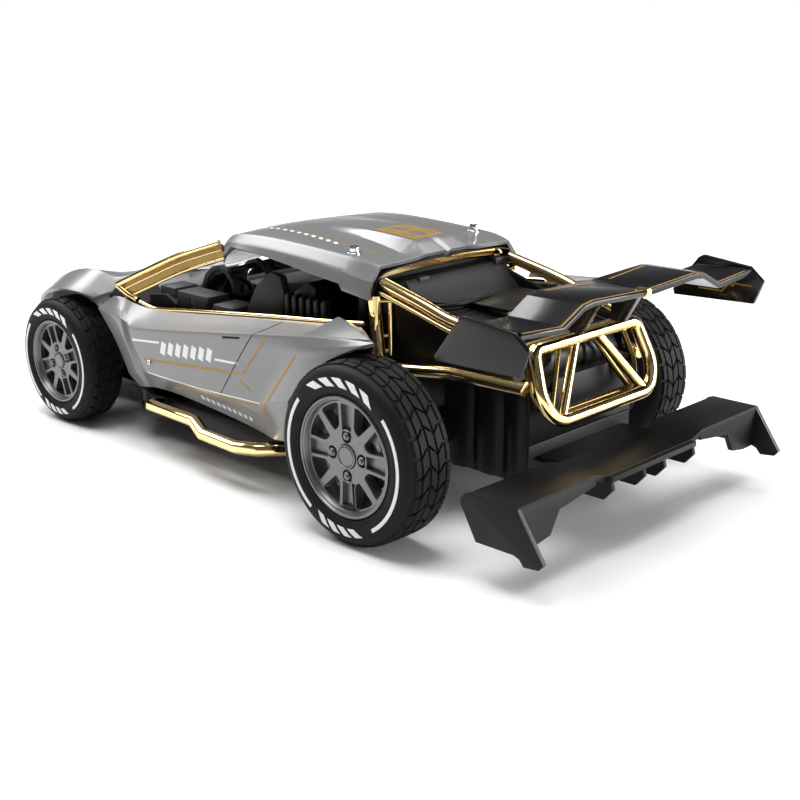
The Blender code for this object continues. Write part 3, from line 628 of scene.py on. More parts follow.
def rim(node, wheel, phase):
    """The spoked face over its sunken web, the barrel, the hub's cap, the nuts and the brake."""
    body = body_of(node)
    scale = wheel.scale
    ring = [polar(22.2 * scale, 2 * math.pi * k / 72) for k in range(72)]
    windows, channels, nuts = [], [], []
    for k in range(4):
        wide = k * math.pi / 2
        windows += [window_loop(wide, wide + math.pi / 4, scale),
                    window_loop(wide, wide - math.pi / 4, scale)]
        channels.append(channel_loop(wide, scale))
        middle = polar(8.0 * scale, wide)
        nuts.append([(middle[0] + a, middle[1] + b) for a, b in circle(2.5 * scale, 24)])
    hub = circle(4.9 * scale, 40)
    face = plate_mesh(node + "_face", [ring, *windows, *channels, *nuts, hub], 2.2 * scale, 0.3)
    shown(node + "_face", on_wheel(face, wheel, 3.1, phase), "gunmetal", body, replaces=(node,))
    floor = plate_mesh(node + "_web", [ring, *windows], 3.0 * scale, 0.3)
    shown(node + "_web", on_wheel(floor, wheel, 3.1 + 2.0 * scale, phase), "gunmetal", body)

    barrel = [(24.1, 1.2), (24.1, 0.9), (23.6, 0.6), (23.0, 0.7), (22.7, 1.3), (22.3, 1.5), (21.9, 2.4),
              (21.4, 3.4), (21.2, 6.0), (19.6, 9.0), (19.6, 22.0), (21.5, 23.0), (24.1, 23.0), (24.3, 22.0),
        (23.0, 12.0)]
    shell = turned_bmesh(wheel, [(r * scale, d) for r, d in barrel], 96)
    shown(node + "_barrel", shell, "gunmetal", body, angle=28)
    cap = [(0, 2.5), (3.6, 2.55), (3.9, 2.9), (4.0, 2.9), (4.25, 2.45), (4.75, 2.6), (4.85, 3.4), (4.8, 9.0),
           (0, 9.0)]
    knob = turned_bmesh(wheel, [(r * scale, d) for r, d in cap], 48)
    shown(node + "_cap", knob, "gunmetal", body, angle=28)
    nut_group(node, wheel, phase, body)
    brake(node, wheel, phase, body)


def nut_group(node, wheel, phase, body):
    """Four hexagon nuts on their studs, in the pockets round the hub."""
    bm = bmesh.new()
    scale = wheel.scale
    for k in range(4):
        angle = phase + k * math.pi / 2
        pocket = wheel._replace(centre=wheel_point(wheel, 8.0 * scale, wheel_angle(wheel.side, angle), 0))
        for radius, steps, face in ((1.75, 6, 2.7), (2.15, 24, 4.3), (0.85, 16, 2.2)):
            shape = [(0, face), (radius * 0.86, face), (radius, face + 0.3), (radius, 6.2), (0, 6.2)]
            turned_bmesh(pocket, [(r * scale, d) for r, d in shape], steps, bm)
    shown(node + "_nuts", bm, "gunmetal", body, angle=28)


def brake(node, wheel, phase, body):
    """A drilled disc behind the spokes and a caliper over its edge."""
    scale = wheel.scale
    holes = [circle(5.0 * scale, 32)]
    for ring, count in ((9.5, 12), (12.0, 16), (14.5, 18)):
        for k in range(count):
            middle = polar(ring * scale, 2 * math.pi * (k + 0.3 * ring) / count)
            holes.append([(middle[0] + a, middle[1] + b) for a, b in circle(0.55 * scale, 10)])
    disc = plate_mesh(node + "_disc", [circle(16.8 * scale, 64), *holes], 1.6, 0.2)
    shown(node + "_disc", on_wheel(disc, wheel, 8.6, phase), "steel_dark", body)
    start, end = math.radians(-22), math.radians(38)
    arc = [start + (end - start) * k / 10 for k in range(11)]
    outline = [polar(19.0 * scale, a) for a in arc] + [polar(12.4 * scale, a) for a in reversed(arc)]
    shape = plate_mesh(node + "_caliper", [softened(outline, 1.4 * scale, 3)], 2.2, 0.4)
    shown(node + "_caliper", on_wheel(shape, wheel, 6.2, 0.0), "gunmetal", body)
    for k, (low, high) in enumerate(((-14, 4), (12, 30))):
        angles = [math.radians(low + (high - low) * k / 5) for k in range(6)]
        loop = [polar(17.6 * scale, a) for a in angles] + [polar(14.0 * scale, a) for a in reversed(angles)]
        hole = [polar(16.7 * scale, a * 0.92 + math.radians(low + high) * 0.04) for a in angles]
        hole += [polar(14.9 * scale, a * 0.92 + math.radians(low + high) * 0.04) for a in reversed(angles)]
        lug = plate_mesh(f"{node}_lug_{k}", [softened(loop, 0.9 * scale, 3), softened(hole, 0.6 * scale, 3)],
                         0.9, 0.2)
        shown(f"{node}_lug_{k}", on_wheel(lug, wheel, 5.5, 0.0), "gunmetal", body)


def wheels():
    """Treaded tyres and full rims on the four wheels."""
    for side, name in SIDE_NAMES.items():
        rim(f"rear_{name}_rim", tyre(f"rear_{name}_tyre", side, 30), 0.0)
        rim(f"front_{name}_rim", tyre(f"front_{name}_tyre", side, 28), math.radians(20))


# ---------------------------------------------------------------- body panels

def mirrored(half):
    """A row across the car from its left half, which starts at x 0."""
    return [(-p[0], *p[1:]) for p in reversed(half) if p[0] > 0] + list(half)


def skin(name, rows, thickness, slot, row_creases=(), column_creases=(), outward=1, carved=(), replaces=()):
    """A panel through rows of points: smooth, but folded sharply along its creases, with a real thickness.

    A crease is (index, first, last) along a row or a column.
    """
    bm = bmesh.new()
    grid = [[bm.verts.new(at(*p)) for p in row] for row in rows]
    for upper, lower in zip(grid, grid[1:]):
        for j in range(len(upper) - 1):
            corners = (upper[j], upper[j + 1], lower[j + 1], lower[j])
            bm.faces.new(corners if outward > 0 else corners[::-1])
    crease = bm.edges.layers.float.new("crease_edge")
    last_row, last_column = len(grid) - 1, len(grid[0]) - 1
    folds = [(0, 0, last_column), (last_row, 0, last_column), *row_creases]
    for row, first, last in folds:
        for j in range(first, last):
            bm.edges.get((grid[row][j], grid[row][j + 1]))[crease] = 1.0
    folds = [(0, 0, last_row), (last_column, 0, last_row), *column_creases]
    for column, first, last in folds:
        for i in range(first, last):
            bm.edges.get((grid[i][column], grid[i + 1][column]))[crease] = 1.0
    mesh = bpy.data.meshes.new(name)
    bm.to_mesh(mesh)
    bm.free()
    sheet = placed(name, mesh)
    smooth = sheet.modifiers.new("smooth", "SUBSURF")
    smooth.levels = 2
    smooth.render_levels = 2
    solid = sheet.modifiers.new("thickness", "SOLIDIFY")
    solid.thickness = thickness * MM
    solid.offset = -1
    edge = sheet.modifiers.new("edges", "BEVEL")
    edge.width = 0.28 * MM
    edge.segments = 2
    edge.limit_method = "ANGLE"
    edge.angle_limit = math.radians(24)
    tools = []
    if carved:
        tree = tree_of(sheet)
        for k, (path, width, depth, view) in enumerate(carved):
            cutter = strip_bmesh(tree, path, width, view, 0.6, depth)
            tool = placed(f"{name}_cutter_{k}", as_mesh(cutter, name))
            tool.hide_render = True
            cut = sheet.modifiers.new(f"cut_{k}", "BOOLEAN")
            cut.object = tool
            cut.solver = "EXACT"
            tools.append(tool)
    final = baked(sheet)
    bpy.data.objects.remove(sheet)
    for tool in tools:
        bpy.data.objects.remove(tool)
    return shown(name, final, slot, angle=22, replaces=replaces)


def baked(thing):
    """The mesh of an object with its modifiers."""
    bpy.context.view_layer.update()
    graph = bpy.context.evaluated_depsgraph_get()
    return bpy.data.meshes.new_from_object(thing.evaluated_get(graph))


def tree_of(thing):
    bpy.context.view_layer.update()
    return BVHTree.FromObject(thing, bpy.context.evaluated_depsgraph_get())


# Views that a line is laid on a panel from: the start of the ray and the way that it goes.
VIEWS = {
    "left": (lambda a, b: at(140, a, b), Vector((-1, 0, 0))),
    "right": (lambda a, b: at(-140, a, b), Vector((1, 0, 0))),
    "top": (lambda a, b: at(a, b, 160), Vector((0, 0, -1))),
    "front": (lambda a, b: at(a, -330, b), Vector((0, 1, 0))),
}


def landed(tree, view, a, b):
    """Where a point of a view lands on a panel, and the panel's direction there."""
    origin, direction = VIEWS[view]
    spot, normal, _, _ = tree.ray_cast(origin(a, b), direction)
    if spot is None:
        return None
    if normal.dot(direction) > 0:
        normal = -normal
    return spot, normal


def strip_bmesh(tree, path, width, view, lift, sink, bm=None, spacing=1.6):
    """A thin bar that follows a path over a panel, mitred at its corners."""
    points = [Vector(p) for p in path]
    samples = []
    for start, end in zip(points, points[1:]):
        count = max(1, round((end - start).length / spacing))
        samples += [start.lerp(end, k / count) for k in range(count)]
    samples.append(points[-1])
    rings = []
    for i, here in enumerate(samples):
        across = mitre(samples, i, width, 0.35)
        ring = []
        for sign in (1, -1):
            hit = landed(tree, view, *(here + across * sign))
            if hit is None:
                break
            spot, normal = hit
            pair = [spot + normal * lift * MM, spot - normal * sink * MM]
            ring += pair if sign > 0 else pair[::-1]
        if len(ring) == 4:
            rings.append(ring)
    return ringed_bmesh(rings, "capped", bm)


def mitre(points, i, width, least):
    """Half of a bar's width at one of its points, square to the way that it runs through there."""
    here = points[i]
    into = (here - points[i - 1]).normalized() if i else (points[1] - here).normalized()
    out = (points[i + 1] - here).normalized() if i + 1 < len(points) else into
    along = (into + out).normalized()
    return Vector((-along.y, along.x)) * (width / 2 / max(least, along.dot(into)))


def printed(name, panel, lines, slot, view, lift=0.07, sink=0.12):
    """Lines laid on a panel, each as (path, width): printed marks, and also strips of painted shade and
    painted highlights.
    """
    tree = tree_of(panel)
    bm = bmesh.new()
    for path, width in lines:
        strip_bmesh(tree, path, width, view, lift, sink, bm)
    return shown(name, bm, slot, angle=50)


def slanted_bars(start, step, count, size, lean):
    """Short bars in a row, as (path, width) lines: where plain marks stand in for lettering."""
    length, width = size
    lines = []
    for k in range(count):
        a, b = start[0] + step[0] * k, start[1] + step[1] * k
        lines.append(([(a, b), (a + lean, b + length)], width))
    return lines


SIDE_ROWS = {
    "sill": [(67.5, -184, 67.6), (66.5, -178.5, 68), (66, -174, 66.8), (65.3, -169.5, 65.6),
             (64.5, -158, 64.3), (64.5, -132, 67), (63.5, -104, 70), (62.5, -75, 73), (61.5, -50, 75.5),
    (61, -34, 77), (62, -20, 78.3)],
    "shoulder": [(70.5, -194, 60.8), (74.2, -169.5, 60.4), (73.3, -166.3, 58.8), (75, -161.8, 57.4),
                 (75.6, -150, 58.4), (76.1, -128, 61.4), (76.6, -101, 65.3), (77.2, -72, 69.6),
    (78, -43, 73.7), (79, -24, 77), (80, 5, 79.7)],
    "flare": [(71.6, -187, 55.8), (75.3, -167.3, 56.3), (74.3, -164.4, 54.9), (75.9, -159.6, 53.5),
              (76.4, -148, 54.4), (77, -125.5, 57), (77.4, -99, 60.5), (78, -73, 64), (79.6, -46.5, 67.4),
    (81.5, -26, 71.7), (81.2, 2, 78.7)],
    "middle": [(72.5, -177.5, 48.5), (75.8, -163.5, 49), (74.8, -160.6, 48.6), (76.3, -156.3, 47.6),
               (76.6, -146, 48.3), (77.2, -122, 49.8), (77.7, -97, 52), (78.2, -76, 54.8), (79, -51.5, 57),
    (82, -38, 62.5), (83, -25, 67)],
    "skirt": [(71.5, -169.5, 32.5), (74.8, -157.5, 35.5), (74, -154.6, 36.4), (75.6, -149.5, 37.8),
              (76.4, -140, 38.2), (77.4, -119, 38.9), (78, -94, 39.6), (78.5, -78, 40.5), (79, -62.5, 42),
    (81.8, -52, 45), (83.2, -41, 48.5)],
    "bottom": [(68.5, -166, 26.6), (69, -159.5, 27.4), (68.8, -156.5, 28), (69.2, -151.5, 28.8),
               (69.6, -139, 29.6), (70, -118, 28.7), (70, -97, 27), (70.3, -80, 25.5), (71.5, -70.5, 24.8),
    (75, -61, 25.3), (77.5, -51, 27.5)],
}
SEAM = [(-63, 75.6), (-69.6, 69), (-79.9, 55.4), (-91, 40.3)]
HANDLE = [(-89.5, 65.2), (-77.5, 66.9)]


def between_rows(first, second, sink):
    """A row half way between two, pushed in a little."""
    return [tuple((a + b) / 2 - (sink if k else 0) for k, (a, b) in enumerate(zip(p, q)))
            for p, q in zip(first, second)]


def side_panel(side):
    """Door, sill and rear fender, with the twin ridges, the door's seam and its handle."""
    name = SIDE_NAMES[side]
    rows = list(SIDE_ROWS.values())
    rows.insert(1, between_rows(rows[0], rows[1], 0.5))
    rows = [flipped(row, side) for row in rows]
    folds = [(2, 0, 10), (3, 8, 10), (5, 0, 10)]
    columns = [(1, 1, 6), (2, 1, 6), (3, 1, 6), (8, 3, 6)]
    cuts = [(SEAM, 0.6, 0.7, name), (HANDLE, 1.0, 0.8, name)]
    panel = skin(name + "_body_side", rows, 1.8, "silver_paint", row_creases=folds, column_creases=columns,
                 outward=-side, carved=cuts, replaces=(name + "_side_panel",))
    # A near-black strip in the bottom of the seam and handle grooves: painted shade.
    printed(name + "_seam", panel, [(SEAM, 0.55), (HANDLE, 0.9)], "painted_shade_black", name, lift=0.02, sink=0.1)
    door_line = [(-149.6, 44.5), (-74.9, 51.9), (-59.9, 70)]
    gold = [(door_line, 1.1), ([(-77.3, 49), (-70.2, 45.6)], 0.9), ([(-39.4, 66.7), (-65.5, 34.5)], 1.4)]
    printed(name + "_gold_lines", panel, gold, "gold_print", name)
    white = [([(-158.5, 52.1), (-136.5, 54.5)], 1.0), ([(-94.6, 54.6), (-78.2, 55.7)], 1.0)]
    white += slanted_bars((-134, 49.6), (5.75, 0.55), 7, (5.6, 3.6), 1.5)
    printed(name + "_white_bars", panel, white, "white_print_and_glint", name)
    printed(name + "_sill_bars", panel, slanted_bars((-110, 32.6), (3.6, -0.34), 10, (1.9, 1.9), 0.8),
            "white_print_and_glint", name)
    printed(name + "_sill_lines", panel, [([(-147.8, 38.3), (-107.2, 39.1), (-64.2, 41.4)], 0.5)],
            "white_print_and_glint", name)
    arc = [(-138, 29.6), (-129.6, 33.6), (-121, 36), (-108.6, 37), (-66, 39.6)]
    printed(name + "_sill_arc", panel, [(arc, 0.7)], "gold_print", name)
    fin = [(77.4, -38.5, 74.6), (61.5, -33.6, 80.6), (78.4, 2, 79.9), (64, -16, 78), (62, -36, 76.5)]
    solid_between(name + "_fender_fin", flipped(fin, side),
                  ((0, 1, 2), (1, 0, 4), (1, 4, 3), (1, 3, 2), (0, 2, 3, 4)), "silver_paint")
    screw(name + "_door_screw", at(side * 75.6, -144.7, 43.8), Vector((side, -0.12, 0.05)), 1.25, "steel",
          1.5)


def solid_between(name, points, faces, slot, bevel=0.35):
    """A small moulded solid from its corner points."""
    bm = bmesh.new()
    verts = [bm.verts.new(at(*p)) for p in points]
    for corners in faces:
        bm.faces.new([verts[i] for i in corners])
    bmesh.ops.recalc_face_normals(bm, faces=bm.faces)
    rounded(bm, bevel, 15)
    return shown(name, bm, slot, angle=35)


SCREW_SIDES = 24


def screw(name, base, axis, radius, slot, height=1.8):
    """A cap screw standing on a surface, with a washer, a knurled rim and a round socket."""
    place = Matrix.Translation(base) @ axis.normalized().to_track_quat("Z", "Y").to_matrix().to_4x4()
    profile = [(0, -1.0), (1.35, -1.0), (1.35, 0.35), (1.3, 0.45), (0.92, 0.5), (0.98, 0.6),
               (1.0, height * 0.8), (0.9, height), (0.5, height), (0.48, height - 0.9), (0, height - 0.9)]
    rings = []
    for share, z in profile:
        ring = []
        for i in range(SCREW_SIDES if share else 1):
            a, b = polar(share * radius, 2 * math.pi * i / SCREW_SIDES)
            ridge = 0.96 if 0.95 < share < 1.01 and i % 2 else 1.0
            ring.append(place @ (Vector((ridge * a, ridge * b, z)) * MM))
        rings.append(ring)
    return shown(name, ringed_bmesh(rings), slot, angle=30)


def roof():
    """Roof skin with its raised spine and the notch in its tail, its lining, screws and stripes."""
    stations = [
        (-157, [(0, 94.5), (2, 94.5), (12, 94.3), (24, 93.8), (38, 91.5), (40, 90), (41, 88)], 26),
        (-140, [(0, 99.0), (2, 99.0), (12, 98.9), (22, 98.5), (42, 96.5), (45.5, 94.3), (46.7, 90.5)], 12),
        (-122, [(0, 102.7), (2, 102.7), (11, 102.6), (20.5, 102.3), (43.6, 101.4), (47, 98),
                (48.3, 92.6)], 0),
        (-117, [(0, 103.5), (2, 103.5), (11, 103.4), (20, 103.1), (44, 102.3), (47.3, 98.8), (48.7, 97)], 0),
        (-98, [(0, 105), (2, 105), (10, 105), (15, 104.5), (44, 103.5), (47.6, 99.6), (49.2, 96.4)], 0),
        (-66, [(0, 106.1), (2, 106.1), (12, 106), (16.5, 103.7), (44, 102.2), (48, 97.5), (49.6, 92.5)], 0),
        (-46.5, [(0, 104.9), (2, 104.9), (12.2, 104.8), (19.2, 101.2), (43.5, 101), (47.8, 95.2),
                 (49.4, 90.3)], 0),
        (-44.5, [(0, 104.7), (2, 104.7), (12.2, 104.6), (19.4, 101), (43.4, 100.9), (47.8, 95),
                 (49.4, 87.6)], 0),
        (-38, [(0, 102.6), (2, 104), (12, 104), (20.5, 100), (43, 100.3), (47.5, 93.6), (49, 86.6)], 0),
        (-30, [(0, 99), (2, 99.9), (13, 99.8), (20.2, 99.3), (41, 98.6), (46.2, 92.6), (48.5, 85.4)], 0),
    ]
    rows = [mirrored([(x, y + sweep * (x / 45) ** 2, z) for x, z in half]) for y, half, sweep in stations]
    middle = len(rows[0]) // 2
    last = len(rows) - 1
    columns = []
    for offset, first in ((0, 7), (1, 7), (2, 4), (3, 4), (4, 0), (5, 0)):
        columns += [(middle + offset, first, last), (middle - offset, first, last)]
    folds = [(8, middle - 3, middle + 3), (6, 0, 1), (6, 11, 12), (7, 0, 1), (7, 11, 12), (2, 0, 1),
             (2, 11, 12), (3, 0, 1), (3, 11, 12)]
    panel = skin("roof_skin", rows, 1.7, "silver_paint", row_creases=folds,
                 column_creases=sorted(set(columns)), replaces=("roof_panel",))
    stripes = []
    for side in SIDE_NAMES:
        stripes.append(([(side * 22, -124), (side * 27, -100), (side * 30, -70), (side * 30.5, -41)], 0.8))
    stripes += [([(x, -64.5), (x, -42)], 2.4) for x in (-8.4, -4.2, 4.2, 8.4)]
    stripes += [([(-9.6, y), (9.6, y)], 2.2) for y in (-64, -53.5, -42.6)]
    printed("roof_gold_lines", panel, stripes, "gold_print", "top")
    bars = slanted_bars((25.2, -121), (0.62, 5.4), 11, (2.6, 1.6), 1.5)
    printed("roof_white_bars", panel, bars, "white_print_and_glint", "top")
    tree = tree_of(panel)
    for side, name in SIDE_NAMES.items():
        spot, normal = landed(tree, "top", side * 38, -48.5)
        screw("roof_screw_" + name, spot, normal, 2.2, "steel", 2.8)
    spot, normal = landed(tree, "top", -40.5, -132)
    screw("roof_screw_front", spot, normal, 2.2, "steel", 2.8)
    screw("roof_screw_small", at(-41.5, -139.5, 95), normal, 1.4, "gold_chrome", 1.8)
    lining = [[(x * 0.955, y + 0.5, z - 2.3 + (2.6 if abs(x) > 46 else 0)) for x, y,
               z in row] for row in rows]
    skin("roof_lining", lining, 0.6, "black_plastic")


def front_shell():
    """Hood and front fenders, with a crest along each fender and a dip beside the hood."""
    stations = [
        (-275, [(0, 41), (22, 41), (38, 40), (48, 39), (52, 36), (54, 32)]),
        (-266, [(0, 48), (22, 48.5), (38, 49.5), (48, 51), (55, 49.5), (60, 45)]),
        (-255, [(0, 54), (22, 55.5), (38, 57.5), (48, 61), (58, 61.5), (66, 56.5)]),
        (-240, [(0, 59), (22, 61.5), (38, 64), (48, 69), (60, 70), (71.5, 63)]),
        (-222, [(0, 64), (22, 66), (38, 69), (47, 72.5), (60, 75.5), (74, 67.5)]),
        (-208, [(0, 67.5), (22, 69.5), (37, 72.5), (45, 72.5), (60, 76.6), (73, 67.5)]),
        (-198, [(0, 69.8), (22, 71.8), (37, 75), (44.5, 73.2), (58, 73.2), (70, 65.5)]),
        (-190, [(0, 71.5), (22, 73.5), (37, 77.5), (45, 75), (53, 74.5), (59, 69)]),
        (-183, [(0, 73), (22, 75), (37, 80), (45, 76.5), (49, 75.5), (52, 72)]),
    ]
    rows = [mirrored([(x, y, z) for x, z in half]) for y, half in stations]
    middle = len(rows[0]) // 2
    folds = []
    for offset, first in ((2, 3), (3, 4), (4, 0)):
        folds += [(middle + offset, first, 8), (middle - offset, first, 8)]
    for side, name in SIDE_NAMES.items():
        # A near-black block behind each fender vent: a dark sheet standing for the shade inside the fender.
        shape = [(-197, 64), (-197, 66.5), (-190, 70), (-181, 70.5), (-174, 64), (-172, 52), (-184, 52),
                 (-184, 64)]
        prism(name + "_vent_liner", "X", shape, *sorted((side * 44, side * 62)), "painted_shade_black", bevel=0.5)
    cuts = [([(side * 15, -259), (side * 19, -228), (side * 19, -196)], 0.8, 0.7,
             "top") for side in SIDE_NAMES]
    panel = skin("hood_and_fenders", rows, 1.8, "silver_paint", column_creases=folds,
                 row_creases=[(6, 7, 10), (6, 0, 3)], carved=cuts, replaces=("front_shell",))
    # A near-black strip in the bottom of each hood seam: painted shade.
    printed("hood_seams", panel, [(path, 0.7) for path, _, _, _ in cuts], "painted_shade_black", "top", lift=0.02)
    stripes, vents, lamps, glints = [], [], [], []
    for side in SIDE_NAMES:
        stripes.append(([(side * 27, -252), (side * 31, -226), (side * 31, -200)], 1.0))
        vents += [([(side * (5 + 0.4 * k), -226 + 6 * k), (side * (13 + 0.6 * k), -229 + 6 * k)],
                   2.4) for k in range(4)]
        lamps.append(([(side * 30, 47), (side * 41, 49.5), (side * 54, 50)], 4.6))
        glints.append(([(side * 31.5, 49.4), (side * 41, 51.6), (side * 53, 52.2)], 0.8))
    printed("hood_gold_lines", panel, stripes, "gold_print", "top")
    # Near-black bars where the hood vents are: painted shade inside their openings.
    printed("hood_vents", panel, vents, "painted_shade_black", "top", lift=0.1)
    printed("headlamps", panel, lamps, "black_gloss", "front", lift=0.25)
    # The thin white lines along the top of the headlamps are painted highlights.
    printed("headlamp_painted_glints", panel, glints, "white_print_and_glint", "front", lift=0.4)
    for k in range(4):
        block(f"grille_bar_{k}", (-35 + k, -275.4, 20.5 + 3.6 * k), (35 - k, -273.4, 21.7 + 3.6 * k),
              "black_gloss")
    block("grille_gold_bar", (-40, -275.6, 18.2), (40, -273.4, 19.2), "gold_chrome")


# ---------------------------------------------------------------- gold cage

def gold_rails(side):
    """Windscreen pillar, sill rail, upper and lower rails of one side, and its step."""
    name = SIDE_NAMES[side]
    pillar = [(65.5, -183, 73), (61, -166, 81.2), (55.2, -150, 89), (51, -136, 94.2), (48, -126, 97.6)]
    # The web behind the pillar's rails wears the darker gold: painted shade between the rails.
    bands = ((("rails", "gold_chrome"), ((0.0, 0.0, circle(1.5, 16)), (-0.4, -3.1, circle(0.55, 10)),
                                         (-1.0, -7.0, circle(0.85, 12)))),
             (("web", "gold_painted_shade"), ((-1.6, -3.4, circle(3.3, 6)),)))
    for (part, slot), rails in bands:
        bm = bmesh.new()
        for out, down, section in rails:
            path = [(x + out, y - 0.35 * down, z + down) for x, y, z in smooth_path(pillar, 6)]
            if part == "web":
                section = [(a * 0.35, b) for a, b in section]
            tube_bmesh(flipped(path, side), section, bm=bm)
        shown(f"{name}_pillar_{part}", bm, slot, angle=40,
              replaces=(name + "_a_pillar",) if part == "rails" else ())
    bm = tube_bmesh(flipped([(65.6, -183, 72.6), (63.6, -177, 68.6), (63.4, -170, 67)], side),
                    circle(1.5, 14))
    shown(name + "_pillar_foot", bm, "gold_chrome", angle=40)

    sill = [(63.6, -168, 66.6), (63.4, -156, 65), (63, -132, 67.7), (62, -104, 70.7), (61, -75, 73.7),
            (59.8, -45, 76.5), (58.5, -22, 78.8)]
    tube(name + "_sill_bar", flipped(smooth_path(sill, 5), side), 1.0, "gold_chrome",
         replaces=(name + "_sill_rail",), sides=14)
    upper = [(40.5, -29, 91.3), (41.5, -6, 86), (41.5, 9, 81.8), (38, 25, 78.6), (34, 38.5, 76)]
    tube(name + "_upper_bar", flipped(smooth_path(upper, 5), side), 2.5, "gold_chrome",
         replaces=(name + "_upper_rail",))
    second = [(43.4, -28, 88), (43.9, -6, 82.6), (43.4, 8, 78.8), (42.6, 16, 77)]
    tube(name + "_upper_thin_bar", flipped(smooth_path(second, 5), side), 0.9, "gold_chrome", sides=12)
    corner = bend((46, -26, 57.5), (43, -31, 86), (43.6, -6, 59.4), 7)
    lower = [(43.5, -31.5, 85.5), *corner, (43.4, -5, 59.6), (41.5, 9, 61), (38.5, 44, 60.6)]
    tube(name + "_lower_bar", flipped(lower, side), 2.8, "gold_chrome", replaces=(name + "_lower_rail",))
    bm = tube_bmesh(flipped([(44.2, -30, 86.5), (46.4, -28, 62)], side), circle(2.1, 18))
    tube_bmesh(flipped([(38.6, -27, 86), (40.6, -25, 62)], side), circle(1.2, 14), bm=bm)
    for z in (84.5, 70, 63.5):
        tube_bmesh(flipped([(44.6, -29.6, z), (39.6, -26, z)], side), circle(0.8, 10), bm=bm)
    shown(name + "_post_bars", bm, "gold_chrome", angle=50)
    moulded(name + "_side_step", "gold_chrome", bevel=0.5, angle=20)


def rear_frame():
    """The truss loop behind the engine with its two struts, and the brace above it."""
    top, middle, foot = (33.7, 43.6, 74.8), (37, 50.5, 57.5), (31, 54, 47.8)
    left = bend(top, (0, 43.3, 74.8), middle, 4) + bend(middle, top, foot, 5) + bend(foot, middle,
                                                                                     (0, 54, 47.8), 6)
    right = [(-x, y, z) for x, y, z in reversed(left)]
    bm = tube_bmesh(left + right, circle(2.8, 20), closed=True)
    for side in SIDE_NAMES:
        tube_bmesh(flipped([(7, 43.5, 74.5), (27.5, 53.6, 48.8)], side), circle(2.0, 16), bm=bm)
    shown("rear_truss", bm, "gold_chrome", angle=50, replaces=("rear_cage_frame",))
    # The inner loop and struts wear the darker gold: painted shade on the tubes set deeper in the frame.
    inner = [(x * 0.93, y - 6.5, z * 0.97 + 2) for x, y, z in left + right]
    bm = tube_bmesh(inner, circle(1.3, 14), closed=True)
    for side in SIDE_NAMES:
        tube_bmesh(flipped([(9, 37.5, 74.6), (25.5, 47, 49.5)], side), circle(1.1, 12), bm=bm)
    shown("rear_truss_inner", bm, "gold_painted_shade", angle=50)
    brace = [(-33.5, 38.5, 75.6), (-31, 26, 80.6), (-22, 22, 81.6)]
    tube("right_truss_brace", brace, 1.9, "gold_chrome", sides=16)


def window_bar():
    path = [(-40, -35, 94), (-20, -35.5, 95), (20, -35.5, 95), (40, -35, 94)]
    section = [(-2.2, -1.4), (-1.2, -2.2), (1.2, -2.2), (2.2, -1.2), (2.2, 1.2), (1.2, 2.2), (-1.2, 2.2),
               (-2.2, 1.4)]
    bm = tube_bmesh(path, section)
    rounded(bm, 0.4, 20)
    shown("rear_window_rail", bm, "gold_chrome", angle=40, replaces=("rear_window_bar",))


# ---------------------------------------------------------------- cockpit, engine bay, tail

def cockpit():
    """Dashboard boxes, the hood over the steering wheel, seats with bolsters and the wall behind them."""
    arch = [(-157, 60), (-156, 70.5), (-152, 78.5), (-147, 82.3), (-141, 83.9), (-135, 82), (-131, 77.5),
            (-129, 71), (-131.4, 71), (-133.4, 76.4), (-136.6, 79.7), (-141, 81.2), (-145.8, 79.7),
        (-149.8, 76.2), (-152, 70)]
    for k, x in enumerate((34, 12)):
        prism(f"wheel_hood_{k}", "X", arch, x, x + 3, "cabin_grey", bevel=0.5)
    shell = [(-156, 62), (-153, 74), (-147.5, 80), (-141, 82), (-139.6, 80), (-146, 78), (-151, 72.6),
             (-153.6, 62)]
    prism("wheel_hood_top", "X", shell, 14, 36, "cabin_grey", bevel=0.5)
    boxes = (("dash_box_left", (38, -168, 60), (52, -156, 73)),
             ("dash_box_middle", (40, -154, 62), (53, -130, 72.5)),
        ("dash_box_rear", (38, -127, 61), (53, -112, 70)), ("dash_shelf", (-50, -156, 61), (10, -136, 70)),
        ("side_pod_left", (50, -128, 58), (56.5, -66, 66)),
        ("side_pod_right", (-56.5, -128, 58), (-50, -66, 66)))
    for name, low, high in boxes:
        block(name, low, high, "cabin_grey", bevel=1.0)
    # Near-black plates where the pockets are: painted shade in their recesses.
    for k, y in enumerate((-152, -140)):
        block(f"dash_pocket_{k}", (52.4, y, 63.5), (53.4, y + 9, 70.5), "painted_shade_black", bevel=0.2)
    for side, name in SIDE_NAMES.items():
        low, high = sorted((side * 41, side * 45.5))
        bolster = [(-113, 60), (-112, 68), (-104.5, 80.5), (-95, 88), (-88, 87), (-85.5, 80), (-87.5, 60)]
        prism(name + "_seat_bolster", "X", bolster, low, high, "cabin_grey", bevel=1.0)
        for k in range(6):
            y = -80 + 4.6 * k
            prism(f"{name}_rear_rib_{k}", "X", [(y, 62), (y + 2.6, 62), (y + 2.6, 82), (y, 80.5)], *sorted(
                (side * 46, side * 50)), "black_plastic", bevel=0.5)
    prism("cabin_floor_tray", "X", [(-126, 60.5), (-50, 60.5), (-50, 64), (-122, 63.4)], -50, 50,
          "cabin_grey")
    wall = [(-46, 60), (-43, 60), (-36.5, 92), (-38, 97.5), (-42, 97.5)]
    prism("cabin_rear_wall", "X", wall, -41, 41, "black_plastic", bevel=0.6)


def across_ring(x, y, z, radius, count):
    """A ring of points about an axis that runs across the car, or its one point where the radius is 0."""
    return ring_of(count if radius else 1, lambda a: at(x, y + radius * math.cos(a),
                                                        z + radius * math.sin(a)))


